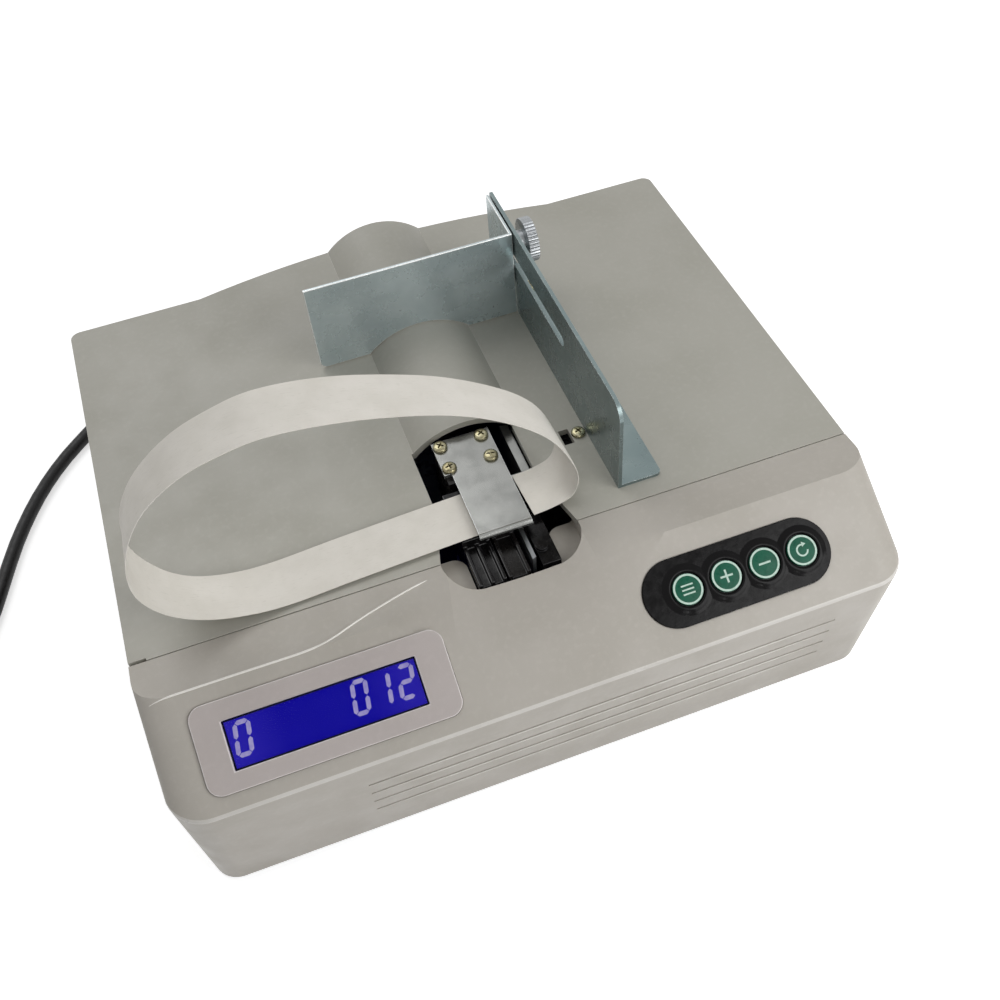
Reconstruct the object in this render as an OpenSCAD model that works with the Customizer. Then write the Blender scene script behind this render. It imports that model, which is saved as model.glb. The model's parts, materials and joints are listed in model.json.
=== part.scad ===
// Desktop banknote strapping machine: a moulded housing with a hinged lid, a note fence with a
// sliding stop, a fixed clamp tongue over a press head, and a paper strap fed from an inner roll.
// Frame: X to the right, Y to the back, Z up. Origin on the table, midway in width and depth.

/* [Housing] */
// Overall width
body_w = 265; // [255:1:285]
// Overall depth, from the nose to the rearmost point of the lid
body_d = 236; // [232:1:250]
// Height of the lid's flat top over the table
deck_z = 94; // [92:0.5:100]
// Height of the nose, where the front slope ends
nose_z = 75; // [70:0.5:78]
// Run of the sloped panel, from the nose back to the brow
slope_run = 36; // [34:0.5:40]
// Rise of the brow over the lid's flat top
brow_rise = 2; // [1:0.25:3]
// Run of the deck band, from the brow back to the seam of the lid
deck_run = 17.5; // [15:0.5:19]
// How far the front face leans in from the nose to the heel
heel_lean = 11.5; // [8:0.5:14]
// Wall thickness of the housing
wall = 3; // [2.5:0.25:3.5]
// Corner radius at the nose
nose_r = 14; // [12:0.5:16]
// Corner radius at the heel
heel_r = 10; // [8:0.5:12]
// Corner radius at the back
rear_r = 4; // [3.5:0.5:6]
// Radius of the shallow trough that leads into the pocket
trough_r = 200; // [180:5:240]
// Fall of the trough towards the front, in degrees
trough_fall = 15; // [13:0.5:16]

/* [Front grooves] */
// Number of grooves
groove_count = 4; // [2:1:5]
// Pitch of the grooves
groove_pitch = 9.4; // [8:0.2:10]
// Height of the lowest groove
groove_z = 28.2; // [24:0.2:32]
// Width and depth of a groove
groove_size = 1; // [0.6:0.1:1.4]

/* [Base] */
// Height of the rubber feet
foot_h = 6; // [4:0.5:8]
// Radius of the rubber feet
foot_r = 9; // [7:0.5:11]
// Thickness of the bottom plate
plate_t = 2; // [1.5:0.25:2.5]
// Radius of the housing screws
base_screw_r = 1.5; // [1.25:0.25:2]

/* [Lid] */
// Thickness of the lid
lid_t = 2.8; // [2.4:0.1:3.2]
// Gap along the seam of the lid
seam_gap = 0.5; // [0.3:0.1:0.8]
// Overhang of the lid's middle behind the rear wall
lid_overhang = 12.5; // [11:0.5:14]
// How far the lid's rear edge bows out in the middle
lid_bow = 8.3; // [6:0.1:9]
// Width of the hump on the lid
hump_w = 42; // [38:1:46]
// Height of the hump on the lid
hump_h = 8.7; // [7:0.1:10]
// Place of the hump across the machine
hump_x = 3; // [1:0.5:5]
// Drop of the hinge axis under the lid
hinge_drop = 14; // [13:0.5:16]
// Radius of the hinge pins
hinge_pin_r = 2; // [1.5:0.25:2.5]

/* [Pocket] */
// Half width of the pocket at the seam
pocket_half = 25.5; // [24:0.5:27]
// Place of the pocket across the machine
pocket_x = 1.2; // [0:0.2:2.4]
// How far the pocket reaches in front of the seam
pocket_front = 13; // [12:0.5:14]
// Depth of the pocket's floor under the lid's top
pocket_drop = 7; // [6:0.5:8]

/* [Display] */
// Distance of the bezel from the left side
bezel_side = 14.5; // [13.5:0.5:16.5]
// Length of the bezel
bezel_w = 85.5; // [82:0.5:88]
// Height of the bezel along the slope
bezel_h = 29.7; // [28:0.1:30]
// Distance of the bezel from the brow, along the slope
bezel_drop = 5.9; // [5.5:0.1:6.5]
// Length of the display window
window_w = 65; // [60:0.5:68]
// Height of the display window
window_h = 16.5; // [15:0.5:18]
// Height of the bezel over the panel
bezel_rise = 1; // [0.6:0.1:1.4]

/* [Keypad] */
// Distance of the first key's centre from the right side
key_side = 80.3; // [78.5:0.1:82.5]
// Pitch of the keys
key_pitch = 14.5; // [13.5:0.1:15]
// Radius of a key
key_r = 5.5; // [5:0.1:6]
// Distance of the keys from the brow, along the slope
key_drop = 21.2; // [20.5:0.1:22]
// Travel of a key
key_travel = 0.5; // [0.3:0.1:0.6]
// Half height of the keypad overlay
overlay_r = 12; // [11:0.5:12.5]

/* [Note guides] */
// Left face of the fence
fence_x = 45.6; // [45:0.2:48]
// Length of the fence
fence_l = 131; // [125:1:136]
// Height of the fence over the lid
fence_h = 40.6; // [36:0.2:44]
// Thickness of the fence and its flange
fence_t = 1.4; // [1.2:0.1:2]
// Width of the fence's flange
flange_w = 17; // [15:0.5:19]
// Height of the fence's slot over the lid
slot_rise = 26.5; // [24:0.5:28]
// Width of the fence's slot
slot_w = 4.6; // [4.4:0.2:5]
// Left end of the stop plate
stop_x = -38.6; // [-42:0.2:-34]
// Distance of the stop plate from the fence's front end
stop_back = 103; // [101.5:0.5:104.5]
// Height of the stop plate over the lid
stop_h = 40; // [36:0.2:40]
// Thickness of the stop plate
stop_t = 1.2; // [1:0.1:2]
// Radius of the thumb screw's head
thumb_r = 9; // [8:0.5:10]

/* [Press head] */
// Width of the paper strap
strap_w = 20; // [18:0.5:20.5]
// Thickness of the paper strap as modelled
strap_t = 0.3; // [0.2:0.05:0.35]
// Distance of the strap's middle behind the seam
strap_back = 17; // [16.5:0.25:17.5]
// Height of the strap under the tongue, over the lid
strap_rise = 0.9; // [0.8:0.05:1]
// Place of the strap's vertical run
strap_x = 8.35; // [8.3:0.05:8.4]
// Thickness of the clamp tongue
tongue_t = 1.6; // [1.2:0.1:2]
// Height of the tongue's underside over the lid
tongue_rise = 2; // [1.8:0.1:2.4]
// Width of the tongue's front part
tongue_w = 19.6; // [18:0.2:20]
// Distance of the front frame plate in front of the seam
front_frame_lead = 11.5; // [11:0.25:12]
// Distance of the rear frame plate behind the seam
rear_frame_back = 29.5; // [29.25:0.25:30.5]
// Thickness of the frame plates
frame_t = 2; // [1.5:0.25:2.5]
// Radius of the feed roller
feed_r = 9; // [8:0.25:9.5]
// Height of the feed and pinch rollers
feed_z = 36; // [34:0.5:38]
// Radius of the pinch roller
pinch_r = 7; // [6:0.25:7.5]
// Radius of the feed and cam shafts
shaft_r = 3; // [2.5:0.25:3.25]
// Place of the cam shaft across the machine
cam_x = -8; // [-9:0.25:-7]
// Height of the cam shaft
cam_z = 58; // [57:0.25:59]
// Base radius of the cams
cam_r = 6; // [5:0.25:6]
// Lift of the cams, the stroke of the press and the heater
cam_lift = 3; // [2.5:0.25:3]
// Stroke of the cutter
cutter_stroke = 1.6; // [1.2:0.1:1.6]
// Teeth on the cam gear
gear_teeth = 24; // [24:12:24]
// Teeth on the cam pinion
pinion_teeth = 12; // [12:12:12]
// Gear module
gear_m = 1; // [0.9:0.05:1]

/* [Paper roll] */
// Outer radius of the paper roll
roll_r = 34; // [26:0.5:36]
// Radius of the roll's spindle
spindle_r = 10; // [8:0.5:14]
// Distance of the roll's axis from the right side
roll_side = 47.5; // [44.5:0.5:49.5]
// Height of the roll's axis
roll_z = 48; // [46:0.5:50]

/* [Power] */
// Diameter of the power cord
cord_d = 6.5; // [6:0.1:6.5]
// Place of the cord across the rear wall
gland_x = -70; // [-70:1:-70]
// Height of the cord at the rear wall
gland_z = 28; // [28:1:28]
// Length of the strain relief's taper
relief_l = 26; // [26:1:26]
// Middle of the power switch on the rear wall
switch_x = 40; // [20:1:80]
// Height of the power switch
switch_z = 45; // [40:1:50]
// Tilt of the switch rocker to either side, in degrees
rocker_tilt = 7; // [5:0.5:8]

/* [Hidden] */

$fn = 48;
eps = 0.01;
big = 400;
seat = 0.3;        // gap between a piece and its seat
run = 0.06;        // radial clearance of a running fit
play = 0.4;        // side clearance of loose pieces

// Profile of the housing
nose_y = -body_d / 2;
brow_y = nose_y + slope_run;
brow_z = deck_z + brow_rise;
seam_y = brow_y + deck_run;
heel_y = nose_y + heel_lean;
rear_y = body_d / 2 - lid_overhang;
side_x = body_w / 2;
lid_z = deck_z - lid_t;
rim_z = lid_z - seat;
panel_tilt = atan2(brow_z - nose_z, slope_run);
face_tilt = atan2(heel_lean, nose_z - foot_h);
brow_r = nose_r - 2;
panel_skin = 5;    // fall of the inner surface under the brow
nose_skin = 2.5;   // fall of the inner surface under the nose
floor_z = foot_h + plate_t;
groove_x0 = 62.5 - side_x;
groove_x1 = side_x - 26.5;
ledge_w = 6;
ledge_t = 3;
boss_r = 4;
boss_h = 24;
boss_x = side_x - wall - boss_r + 1;
boss_ys = [heel_y + 22, 0, rear_y - 20];
foot_xs = [-side_x + 27, side_x - 27];
foot_ys = [heel_y + 21, rear_y - 25];

// Hinge of the lid
hinge_y = rear_y - 7.5;
hinge_z = lid_z - hinge_drop;
arm_x = side_x - 14;
arm_t = 5;
arm_r = 4;
arm_reach = 17;
lip_t = 2.5;
lip_z = hinge_z + 6;
lip_y = rear_y + 1;
lid_rear = body_d / 2 - lid_bow;
bow_half = 80;
bow_r = (bow_half * bow_half + lid_bow * lid_bow) / (2 * lid_bow);
hump_r = (hump_w * hump_w / 4 + hump_h * hump_h) / (2 * hump_h);
hump_cz = deck_z + hump_h - hump_r;
hump_t = 2.6;

// Pocket
notch_back = seam_y + 53;
notch_half = 19.8;
notch_taper = 24.5;
pocket_r = 12;
pocket_wall = 2.5;
pocket_z = deck_z - pocket_drop;
pocket_t = 2.2;
rim_gap = 0.5;      // width of the floor's edge in front of the mouth
ear_y = seam_y + 5.5;
ear_r = 5;

// Panel
bezel_x = bezel_side - side_x;
key_x = side_x - key_side;
bezel_t = 1.6;
bezel_r = 5;
window_x = bezel_x + 9.8;
window_drop = bezel_drop + 6.9;
glass_t = 1.8;
lcd_t = 5.8;
lcd_margin = 2.2;
pcb_t = 1.6;
overlay_t = 1.2;
overlay_rise = 0.7;
overlay_end = 16;
key_rise = 1.6;
key_depth = 3;
key_board_z = -7.9;

// Note guides
fence_y = seam_y + 8;
flange_r = 2;
stop_y = fence_y + stop_back;
slot_z = deck_z + slot_rise;
stud_r = slot_w / 2 - seat;
stop_gap = 0.4;
tab_l = 28;
tab_low = 14;
thumb_y = stop_y + 11;
slot_y0 = fence_y + 51.2;
slot_y1 = slot_y0 + 71.5;
thumb_gap = 6;
thumb_t = 4.2;
stop_corner = 3;
sensor_x = fence_x - 7.8;
sensor_y = seam_y + 38.5;
sensor_screw_x = fence_x - 3;
window_slot = [4, 7.5];
pan_r = 2.75;
pan_h = 1.8;
screw_r = 1.5;

// Press head
strap_y = seam_y + strap_back;
front_frame_y = seam_y - front_frame_lead;
rear_frame_y = seam_y + rear_frame_back;
strap_z = deck_z + strap_rise;
strap_y0 = strap_y - strap_w / 2;
strap_y1 = strap_y + strap_w / 2;
tongue_x = 1.5;
tongue_z = deck_z + tongue_rise;
tongue_front = strap_y0 - 1.9;
tongue_step = strap_y1 + 8;
tongue_back = strap_y1 + 24.7;
tongue_wide = 2.8;
tongue_hole_x = tongue_x - 1.8;
tongue_hole_dx = 8;
tongue_hole_ys = [tongue_back - 3.2, tongue_back - 14.2];
loop_x = tongue_x - 0.8;
gap_y0 = front_frame_y + frame_t;
gap_y1 = rear_frame_y;
slide_y0 = gap_y0 + seat;
slide_y1 = gap_y1 - seat;
frame_x0 = -34;
frame_x1 = 44;
frame_top = pocket_z - pocket_t - 0.8;
ear_top = lid_z - 0.4;
strip_x = 17.2;
strip_w = 3.2;
head_z = strap_z - strap_t / 2 - seat;
rib_z = head_z - 4.4;
rib_h = 1.5;
rib_w = 1.4;
foot_z = cam_z + cam_r + cam_lift + seat;
foot_t = 2.7;
block_z = foot_z + foot_t + cam_lift + 2;
press_x0 = -14.4;
press_x1 = -4.2;
heater_x0 = -3.6;
heater_x1 = 4.6;
blade_t = 1.2;
blade_x = strap_x - strap_t / 2 - 0.4 - blade_t;
chute_x = strap_x + strap_t / 2 + 0.5;
chute_w = 6.8;
chute_z = 60;
chute_top = pocket_z + 5;
boss_dx = 2.3;
boss_dy = 4.9;
boss_top = 1.2;
lip_y0 = seam_y - pocket_front + rim_gap + 0.6;
lip_z0 = frame_top + cam_lift + seat;
foot_x0 = cam_x - 4;
cam_w = 6;
press_foot_y = gap_y0 + 4;
heater_foot_y = gap_y0 + 18;
cutter_foot_y = gap_y0 + 30;
feed_x = strap_x + strap_t / 2 + seat + feed_r;
pinch_x = strap_x - strap_t / 2 - seat - pinch_r;
pivot_x = pinch_x - 3.9;
pivot_z = feed_z - 18;
pivot_r = 2.5;
arm_w = 2;
gear_y = rear_frame_y + frame_t + 1;
gear_w = 5;
gear_r = gear_m * gear_teeth / 2;
pinion_r = gear_m * pinion_teeth / 2;
pinion_x = cam_x - gear_r - pinion_r;
support_z = cam_z + gear_r + gear_m + 1;
motor_half = 14;
motor_l = 32;
cam_motor_r = 12;
cam_motor_y = gear_y + gear_w + 2;
cam_motor_l = 32;
post_r = 2.5;
post_dz = 14;

// Paper roll
roll_x = side_x - roll_side;
bracket_y = strap_y1 + 5.1;
bracket_t = 2;
retainer_r = spindle_r + 2;

// Path of the strap loop in its upright plane, as distances from the tongue's middle and heights
// over the lid; the loop stands a little askew.
loop_yaw = 3;
loop_path = [[3, 0.9], [-10, 1.1], [-30, 1.3], [-55, 1.2], [-78, 1.2], [-92, 3.6], [-104, 9], [-113, 18],
  [-118.5, 30], [-119.5, 43], [-116.5, 56], [-109, 67.5], [-98, 76], [-85, 80.5], [-70, 81], [-50, 77.5],
  [-30, 71], [-10, 61.5], [8, 48.5], [20, 36], [27, 23], [29.5, 12], [27, 4], [20, 1.4], [12, 0.9]];
loop_steps = 4;

// Electronics
board_w = 66;
board_l = 92;
board_x = 10.5 - side_x;
board_y = rear_y - 49.5 - board_l;
board_post = 6;
board_z = floor_z + board_post;
core_w = 48;
core_l = 40;
core_h = 40;
core_x = side_x - 22.5 - core_w;
core_y = rear_y - 43.5 - core_l;
coil_reach = 6;

// Power cord: fixed points of its middle line, from the strain relief to the coil
cord_lay = cord_d / 2 + 0.05;
coil_x = -260;
coil_y = 20;
coil_gap = 0.6;
coil_pitch = cord_d + coil_gap;
coil_turns = 5.25;
coil_r = 46;
coil_z = cord_lay + 1;
cord_points = [[-70, 133.5, 28], [-70, 142, 27.5], [-71, 152, 24.5], [-75, 163, 19], [-83, 173, 12.5],
  [-95, 179, 7], [-109, 179, 4], [-123, 173, 3.3], [-137, 161, 3.3], [-150, 148, 3.3],
  [-163, 135, 3.3], [-174, 121, 3.3], [-183, 106, 3.3], [-191, 89, 3.3], [-198, 70, 3.3],
  [-204, 53, 3.3], [-210, 40, 3.8], [-213.3, 30, 4.3], [-214, 20, 4.3]];

// ---- helpers -------------------------------------------------------------------------------

// Box from two corners
module block(a, b) {
  translate(a) cube([b[0] - a[0], b[1] - a[1], b[2] - a[2]]);
}

// Round bar along Y, from y0 to y1
module bar_y(x, z, r, y0, y1) {
  translate([x, y1, z]) rotate([90, 0, 0]) cylinder(r = r, h = y1 - y0);
}

// Round bar along X, from x0 to x1
module bar_x(y, z, r, x0, x1) {
  translate([x0, y, z]) rotate([0, 90, 0]) cylinder(r = r, h = x1 - x0);
}

// Round bar along Z, from z0 to z1
module bar_z(x, y, r, z0, z1) {
  translate([x, y, z0]) cylinder(r = r, h = z1 - z0);
}

// Outline in the XZ plane, drawn as x and z, with its thickness from y0 to y1
module slab_y(y0, y1) {
  translate([0, y1, 0]) rotate([90, 0, 0]) linear_extrude(y1 - y0) children();
}

// Rectangle with rounded corners, from two corners
module round_rect(a, b, r) {
  translate([a[0] + r, a[1]]) square([b[0] - a[0] - 2 * r, b[1] - a[1]]);
  translate([a[0], a[1] + r]) square([b[0] - a[0], b[1] - a[1] - 2 * r]);
  for (x = [a[0] + r, b[0] - r])
    for (y = [a[1] + r, b[1] - r])
      translate([x, y]) circle(r);
}

// Places things on the sloped panel: x as in the machine, y up the slope from the brow, z outwards
module on_panel() {
  translate([0, brow_y, brow_z]) rotate([panel_tilt, 0, 0]) children();
}

// Pan head screw pointing down, with a cross recess; its seat is at z
module pan_screw(x, y, z, depth) {
  difference() {
    union() {
      bar_z(x, y, screw_r, z - depth, z + eps);
      translate([x, y, z]) cylinder(r1 = pan_r, r2 = pan_r - 0.6, h = pan_h);
    }
    for (a = [20, 110])
      translate([x, y, z + pan_h]) rotate([0, 0, a]) cube([3.2, 0.7, 1.4], center = true);
  }
}

function lerp(a, b, t) = a + (b - a) * t;
function unit(v) = v / norm(v);

// Point of a smooth curve through points p, at parameter t of the stretch from point i
function spline_at(p, i, t) =
  let (n = len(p) - 1, a = p[max(i - 1, 0)], b = p[i], c = p[min(i + 1, n)], d = p[min(i + 2, n)])
  0.5 * (2 * b + (c - a) * t + (2 * a - 5 * b + 4 * c - d) * t * t + (3 * b - a - 3 * c + d) * t * t * t);
function spline(p, steps) =
  [for (i = [0 : len(p) - 2], k = [0 : steps - 1]) spline_at(p, i, k / steps), p[len(p) - 1]];

// Direction of a path at point i
function heading(p, i) = unit(p[min(i + 1, len(p) - 1)] - p[max(i - 1, 0)]);

// Band of thickness t along a flat path
function band(p, t) =
  let (n = len(p) - 1, side = [for (i = [0 : n]) let (h = heading(p, i)) [-h[1], h[0]] * t / 2])
  concat([for (i = [0 : n]) p[i] + side[i]], [for (i = [n : -1 : 0]) p[i] - side[i]]);

// Tube of radius r with s sides along a path whose ends run along first and last
module tube(p, r, s, first, last) {
  n = len(p);
  rings = [for (i = [0 : n - 1])
    let (h = i == 0 ? first : i == n - 1 ? last : heading(p, i),
         u = unit(cross(h, abs(h[2]) < 0.9 ? [0, 0, 1] : [1, 0, 0])), v = cross(u, h))
    for (k = [0 : s - 1]) let (a = 360 * (k + 0.5) / s) p[i] + r * (cos(a) * u + sin(a) * v)];
  walls = [for (i = [0 : n - 2], k = [0 : s - 1]) let (a = i * s + k, b = i * s + (k + 1) % s)
    each [[a, b, b + s], [a, b + s, a + s]]];
  caps = [for (k = [1 : s - 2]) each [[0, k + 1, k], [(n - 1) * s, (n - 1) * s + k, (n - 1) * s + k + 1]]];
  polyhedron(concat(rings), concat(walls, caps));
}

// ---- housing -------------------------------------------------------------------------------

// Six upright corner posts, hulled: the outer form, or with an inset the inner one
module housing_form(inset) {
  low = inset > 0 ? -1 : 0;
  hull() {
    for (s = [-1, 1]) {
      translate([s * (side_x - heel_r), heel_y + heel_r, foot_h + low])
        cylinder(r = heel_r - inset, h = eps, $fn = 40);
      translate([s * (side_x - nose_r), nose_y + nose_r, nose_z - (inset > 0 ? nose_skin : 0) - eps])
        cylinder(r = nose_r - inset, h = eps, $fn = 40);
      translate([s * (side_x - brow_r), brow_y + brow_r, brow_z - (inset > 0 ? panel_skin : 0) - eps])
        cylinder(r = brow_r - inset, h = eps, $fn = 40);
      translate([s * (side_x - rear_r), rear_y - rear_r, foot_h + low])
        cylinder(r = rear_r - inset, h = brow_z - panel_skin - foot_h - low, $fn = 40);
    }
  }
}

// Big bar that cuts the trough; grow moves its surface down into the housing
module trough_bar(grow) {
  translate([pocket_x, seam_y, deck_z]) rotate([90 + trough_fall, 0, 0])
    translate([0, trough_r, -big / 2 + 60]) cylinder(r = trough_r + grow, h = big, $fn = 96);
}

// Pocket in plan, in front of the seam
module pocket_plan(grow) {
  half = pocket_half + grow;
  round_rect([pocket_x - half, seam_y - pocket_front - grow], [pocket_x + half, seam_y + 20],
    pocket_r + grow);
}

// Opening through the pocket's floor, narrow in front of its two ears
module mouth_plan() {
  x0 = press_x0 - play;
  x1 = chute_x + chute_w + play;
  translate([x0, seam_y - pocket_front]) square([x1 - x0, big]);
  translate([pocket_x - pocket_half, ear_y]) square([2 * pocket_half, big]);
  difference() {
    translate([x0 - ear_r, ear_y - ear_r]) square([x1 - x0 + 2 * ear_r, ear_r + eps]);
    for (x = [x0 - ear_r, x1 + ear_r])
      translate([x, ear_y - ear_r]) circle(ear_r);
  }
}

// Windows, recesses and grooves in the front
module front_cuts() {
  on_panel() {
    translate([0, 0, bezel_rise - bezel_t]) linear_extrude(big)
      round_rect([bezel_x - 0.2, -bezel_drop - bezel_h - 0.2], [bezel_x + bezel_w + 0.2, 0.2 - bezel_drop],
        bezel_r + 0.2);
    lcd_hole(0.3, -14, 0.3);
    translate([0, 0, overlay_rise - overlay_t]) linear_extrude(big) overlay_plan(0.2);
    for (i = [0 : 3])
      bar_z(key_x + i * key_pitch, -key_drop, key_r + seat, -14, 1);
  }
  for (i = [0 : groove_count - 1]) {
    z = groove_z + i * groove_pitch;
    y = heel_y - (z - foot_h) * tan(face_tilt);
    block([groove_x0, y - groove_size, z - groove_size / 2], [groove_x1, y + groove_size, z + groove_size / 2]);
  }
}

// Space behind the display window, grown by g, from z0 to z1
module lcd_hole(g, z0, z1) {
  block([window_x - lcd_margin - g, -window_drop - window_h - lcd_margin - g, z0],
    [window_x + window_w + lcd_margin + g, -window_drop + lcd_margin + g, z1]);
}

module overlay_plan(grow) {
  a = key_x - overlay_end - grow;
  b = key_x + 3 * key_pitch + overlay_end - 5.2 + grow;
  round_rect([a, -key_drop - overlay_r - grow], [b, -key_drop + overlay_r + grow], overlay_r + grow - eps);
}

module housing() color([0.69, 0.68, 0.66]) {
  difference() {
    union() {
      difference() {
        housing_form(0);
        trough_bar(0);
        difference() {
          housing_form(wall);
          trough_bar(wall);
        }
        // deck band: level with the lid at the seam
        translate([-big / 2, 0, 0]) rotate([90, 0, 90]) linear_extrude(big)
          polygon([[brow_y, brow_z], [seam_y, deck_z], [seam_y + 1, deck_z], [seam_y + 1, big], [brow_y, big]]);
        // bay of the lid
        block([-big, seam_y, rim_z], [big, big, big]);
        block([-side_x + wall, seam_y + ledge_w, floor_z + 40], [side_x - wall, rear_y - wall, big]);
        // rear wall stays inside the swing of the lid
        difference() {
          block([-big, hinge_y, hinge_z], [big, big, big]);
          bar_x(hinge_y, hinge_z, hinge_drop - seat, -big, big);
        }
        translate([0, 0, pocket_z]) linear_extrude(big) pocket_plan(0);
        front_cuts();
      }
      // wall and floor of the pocket
      difference() {
        translate([0, 0, pocket_z - pocket_t]) linear_extrude(deck_z - pocket_z + pocket_t - 1)
          pocket_plan(pocket_wall);
        translate([0, 0, pocket_z]) linear_extrude(big) pocket_plan(0);
        translate([0, 0, -1]) trough_bar(0);
        block([-big, seam_y, rim_z], [big, big, big]);
        block([-big, seam_y + ledge_w, 0], [big, big, big]);
      }
      // ledge under the lid's front edge
      difference() {
        block([-side_x + wall - 1, seam_y - 2, rim_z - ledge_t],
          [side_x - wall + 1, seam_y + ledge_w, rim_z]);
        translate([0, 0, pocket_z]) linear_extrude(big) pocket_plan(0);
      }
      // bosses of the housing screws
      for (s = [-1, 1])
        for (y = boss_ys)
          bar_z(s * boss_x, y, boss_r, floor_z, floor_z + boss_h);
      // bosses of the hinge pins
      for (s = [-1, 1])
        bar_x(hinge_y, hinge_z, arm_r, s > 0 ? arm_x + arm_t / 2 + 0.5 : -side_x + 1,
          s > 0 ? side_x - 1 : -arm_x - arm_t / 2 - 0.5);
      // posts of the keypad board
      on_panel()
        for (x = [key_x - 10.5, key_x + 3 * key_pitch + 7.5])
          for (y = [-key_drop - 9, -key_drop + 9])
            bar_z(x, y, 2.2, key_board_z, -3);
    }
    translate([0, 0, -1]) linear_extrude(big) mouth_plan_inside();
    for (s = [-1, 1])
      for (y = boss_ys)
        bar_z(s * boss_x, y, base_screw_r + run, 0, floor_z + boss_h - 4);
    for (s = [-1, 1])
      bar_x(hinge_y, hinge_z, hinge_pin_r + run, s > 0 ? 0 : -side_x + 1, s > 0 ? side_x - 1 : 0);
    bar_y(gland_x, gland_z, 5 + run, rear_y - wall - 1, rear_y + 1);
    block([switch_x - 10.2, rear_y - wall - 1, switch_z - 6.7], [switch_x + 10.2, rear_y + 1, switch_z + 6.7]);
  }
}

// The mouth, kept within the pocket's own walls and behind its front
module mouth_plan_inside() {
  intersection() {
    mouth_plan();
    union() {
      pocket_plan(-rim_gap);
      translate([pocket_x - pocket_half + 1, seam_y]) square([2 * pocket_half - 2, ledge_w + 1]);
    }
  }
}

module bottom_plate() color([0.32, 0.33, 0.34]) difference() {
  union() {
    base_sheet();
    for (x = [board_x + 4, board_x + board_w - 4])
      for (y = [board_y + 4, board_y + board_l - 4])
        bar_z(x, y, 3, floor_z, board_z);
  }
  for (s = [-1, 1])
    for (y = boss_ys)
      bar_z(s * boss_x, y, base_screw_r + 0.4, 0, floor_z + 1);
}

module base_sheet() {
  translate([0, 0, foot_h]) linear_extrude(plate_t)
    round_rect([-side_x + wall + play, heel_y + wall + play], [side_x - wall - play, rear_y - wall - play],
      heel_r - wall);
}

module rubber_feet() color([0.08, 0.08, 0.08])
  for (x = foot_xs)
    for (y = foot_ys)
      translate([x, y, 0]) rotate_extrude()
        polygon([[0, 1], [foot_r * 0.45, 1], [foot_r * 0.5, 0], [foot_r - 0.8, 0], [foot_r, 0.8],
          [foot_r, foot_h], [0, foot_h]]);

module housing_screws() color([0.75, 0.75, 0.76])
  for (s = [-1, 1])
    for (y = boss_ys) {
      bar_z(s * boss_x, y, base_screw_r, foot_h - eps, floor_z + boss_h - 6);
      translate([s * boss_x, y, foot_h - pan_h]) cylinder(r1 = pan_r - 0.5, r2 = pan_r, h = pan_h);
    }

// ---- display and keypad --------------------------------------------------------------------

module display_bezel() color([0.77, 0.74, 0.73]) on_panel() difference() {
  translate([0, 0, bezel_rise - bezel_t]) linear_extrude(bezel_t)
    round_rect([bezel_x, -bezel_drop - bezel_h], [bezel_x + bezel_w, -bezel_drop], bezel_r);
  block([window_x, -window_drop - window_h, -5], [window_x + window_w, -window_drop, 5]);
}

module display_glass() color([0.3, 0.35, 0.9, 0.35]) on_panel()
  lcd_hole(0, bezel_rise - bezel_t - glass_t, bezel_rise - bezel_t);

module display_module() color([0.12, 0.08, 0.75]) on_panel() {
  top = bezel_rise - bezel_t - glass_t - 0.2;
  lcd_hole(0, top - lcd_t, top);
  block([window_x - 7, -window_drop - window_h - 6, top - lcd_t - pcb_t],
    [window_x + window_w + 7, -window_drop + 6, top - lcd_t + eps]);
}

module keypad_overlay() color([0.05, 0.05, 0.06]) on_panel() difference() {
  translate([0, 0, overlay_rise - overlay_t]) linear_extrude(overlay_t) overlay_plan(0);
  for (i = [0 : 3])
    bar_z(key_x + i * key_pitch, -key_drop, key_r + seat, -5, 5);
}

module keypad_board() color([0.1, 0.35, 0.2]) on_panel() {
  block([key_x - 13, -key_drop - 11.5, key_board_z - pcb_t],
    [key_x + 3 * key_pitch + 10, -key_drop + 11.5, key_board_z]);
  for (i = [0 : 3])
    translate([key_x + i * key_pitch, -key_drop, key_board_z - eps]) {
      translate([-3, -3, 0]) cube([6, 6, 3]);
      cylinder(r = 1.7, h = -key_board_z - key_depth - key_travel - seat);
    }
}

module key_cap(i) on_panel() translate([key_x + i * key_pitch, -key_drop, -key_depth])
  rotate_extrude()
    polygon([[0, 0], [key_r, 0], [key_r, key_depth + key_rise - 0.4], [key_r - 0.4, key_depth + key_rise],
      [0, key_depth + key_rise]]);

module key_menu() color([0.08, 0.47, 0.33]) key_cap(0);
module key_plus() color([0.08, 0.47, 0.33]) key_cap(1);
module key_minus() color([0.08, 0.47, 0.33]) key_cap(2);
module key_reset() color([0.08, 0.47, 0.33]) key_cap(3);

// ---- lid -----------------------------------------------------------------------------------

// Outline of the lid in plan, with its bowed rear edge
module lid_plan(inset) {
  intersection() {
    translate([-side_x + inset, seam_y + seam_gap])
      square([body_w - 2 * inset, body_d / 2 - inset - seam_y - seam_gap]);
    union() {
      round_rect([-side_x + inset, seam_y - 20], [side_x - inset, lid_rear - inset], rear_r - inset);
      intersection() {
        translate([hump_x, body_d / 2 - bow_r]) circle(bow_r - inset, $fn = 128);
        translate([-side_x + rear_r, hinge_y]) square([body_w - 2 * rear_r, body_d]);
      }
    }
  }
}

// Notch of the lid around the tongue
module notch_plan() {
  polygon([[pocket_x - pocket_half, seam_y - 5], [pocket_x + pocket_half, seam_y - 5],
    [pocket_x + pocket_half, seam_y], [pocket_x + notch_half, seam_y + notch_taper],
    [pocket_x + notch_half, notch_back], [pocket_x - notch_half, notch_back],
    [pocket_x - notch_half, seam_y + notch_taper], [pocket_x - pocket_half, seam_y]]);
}

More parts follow.
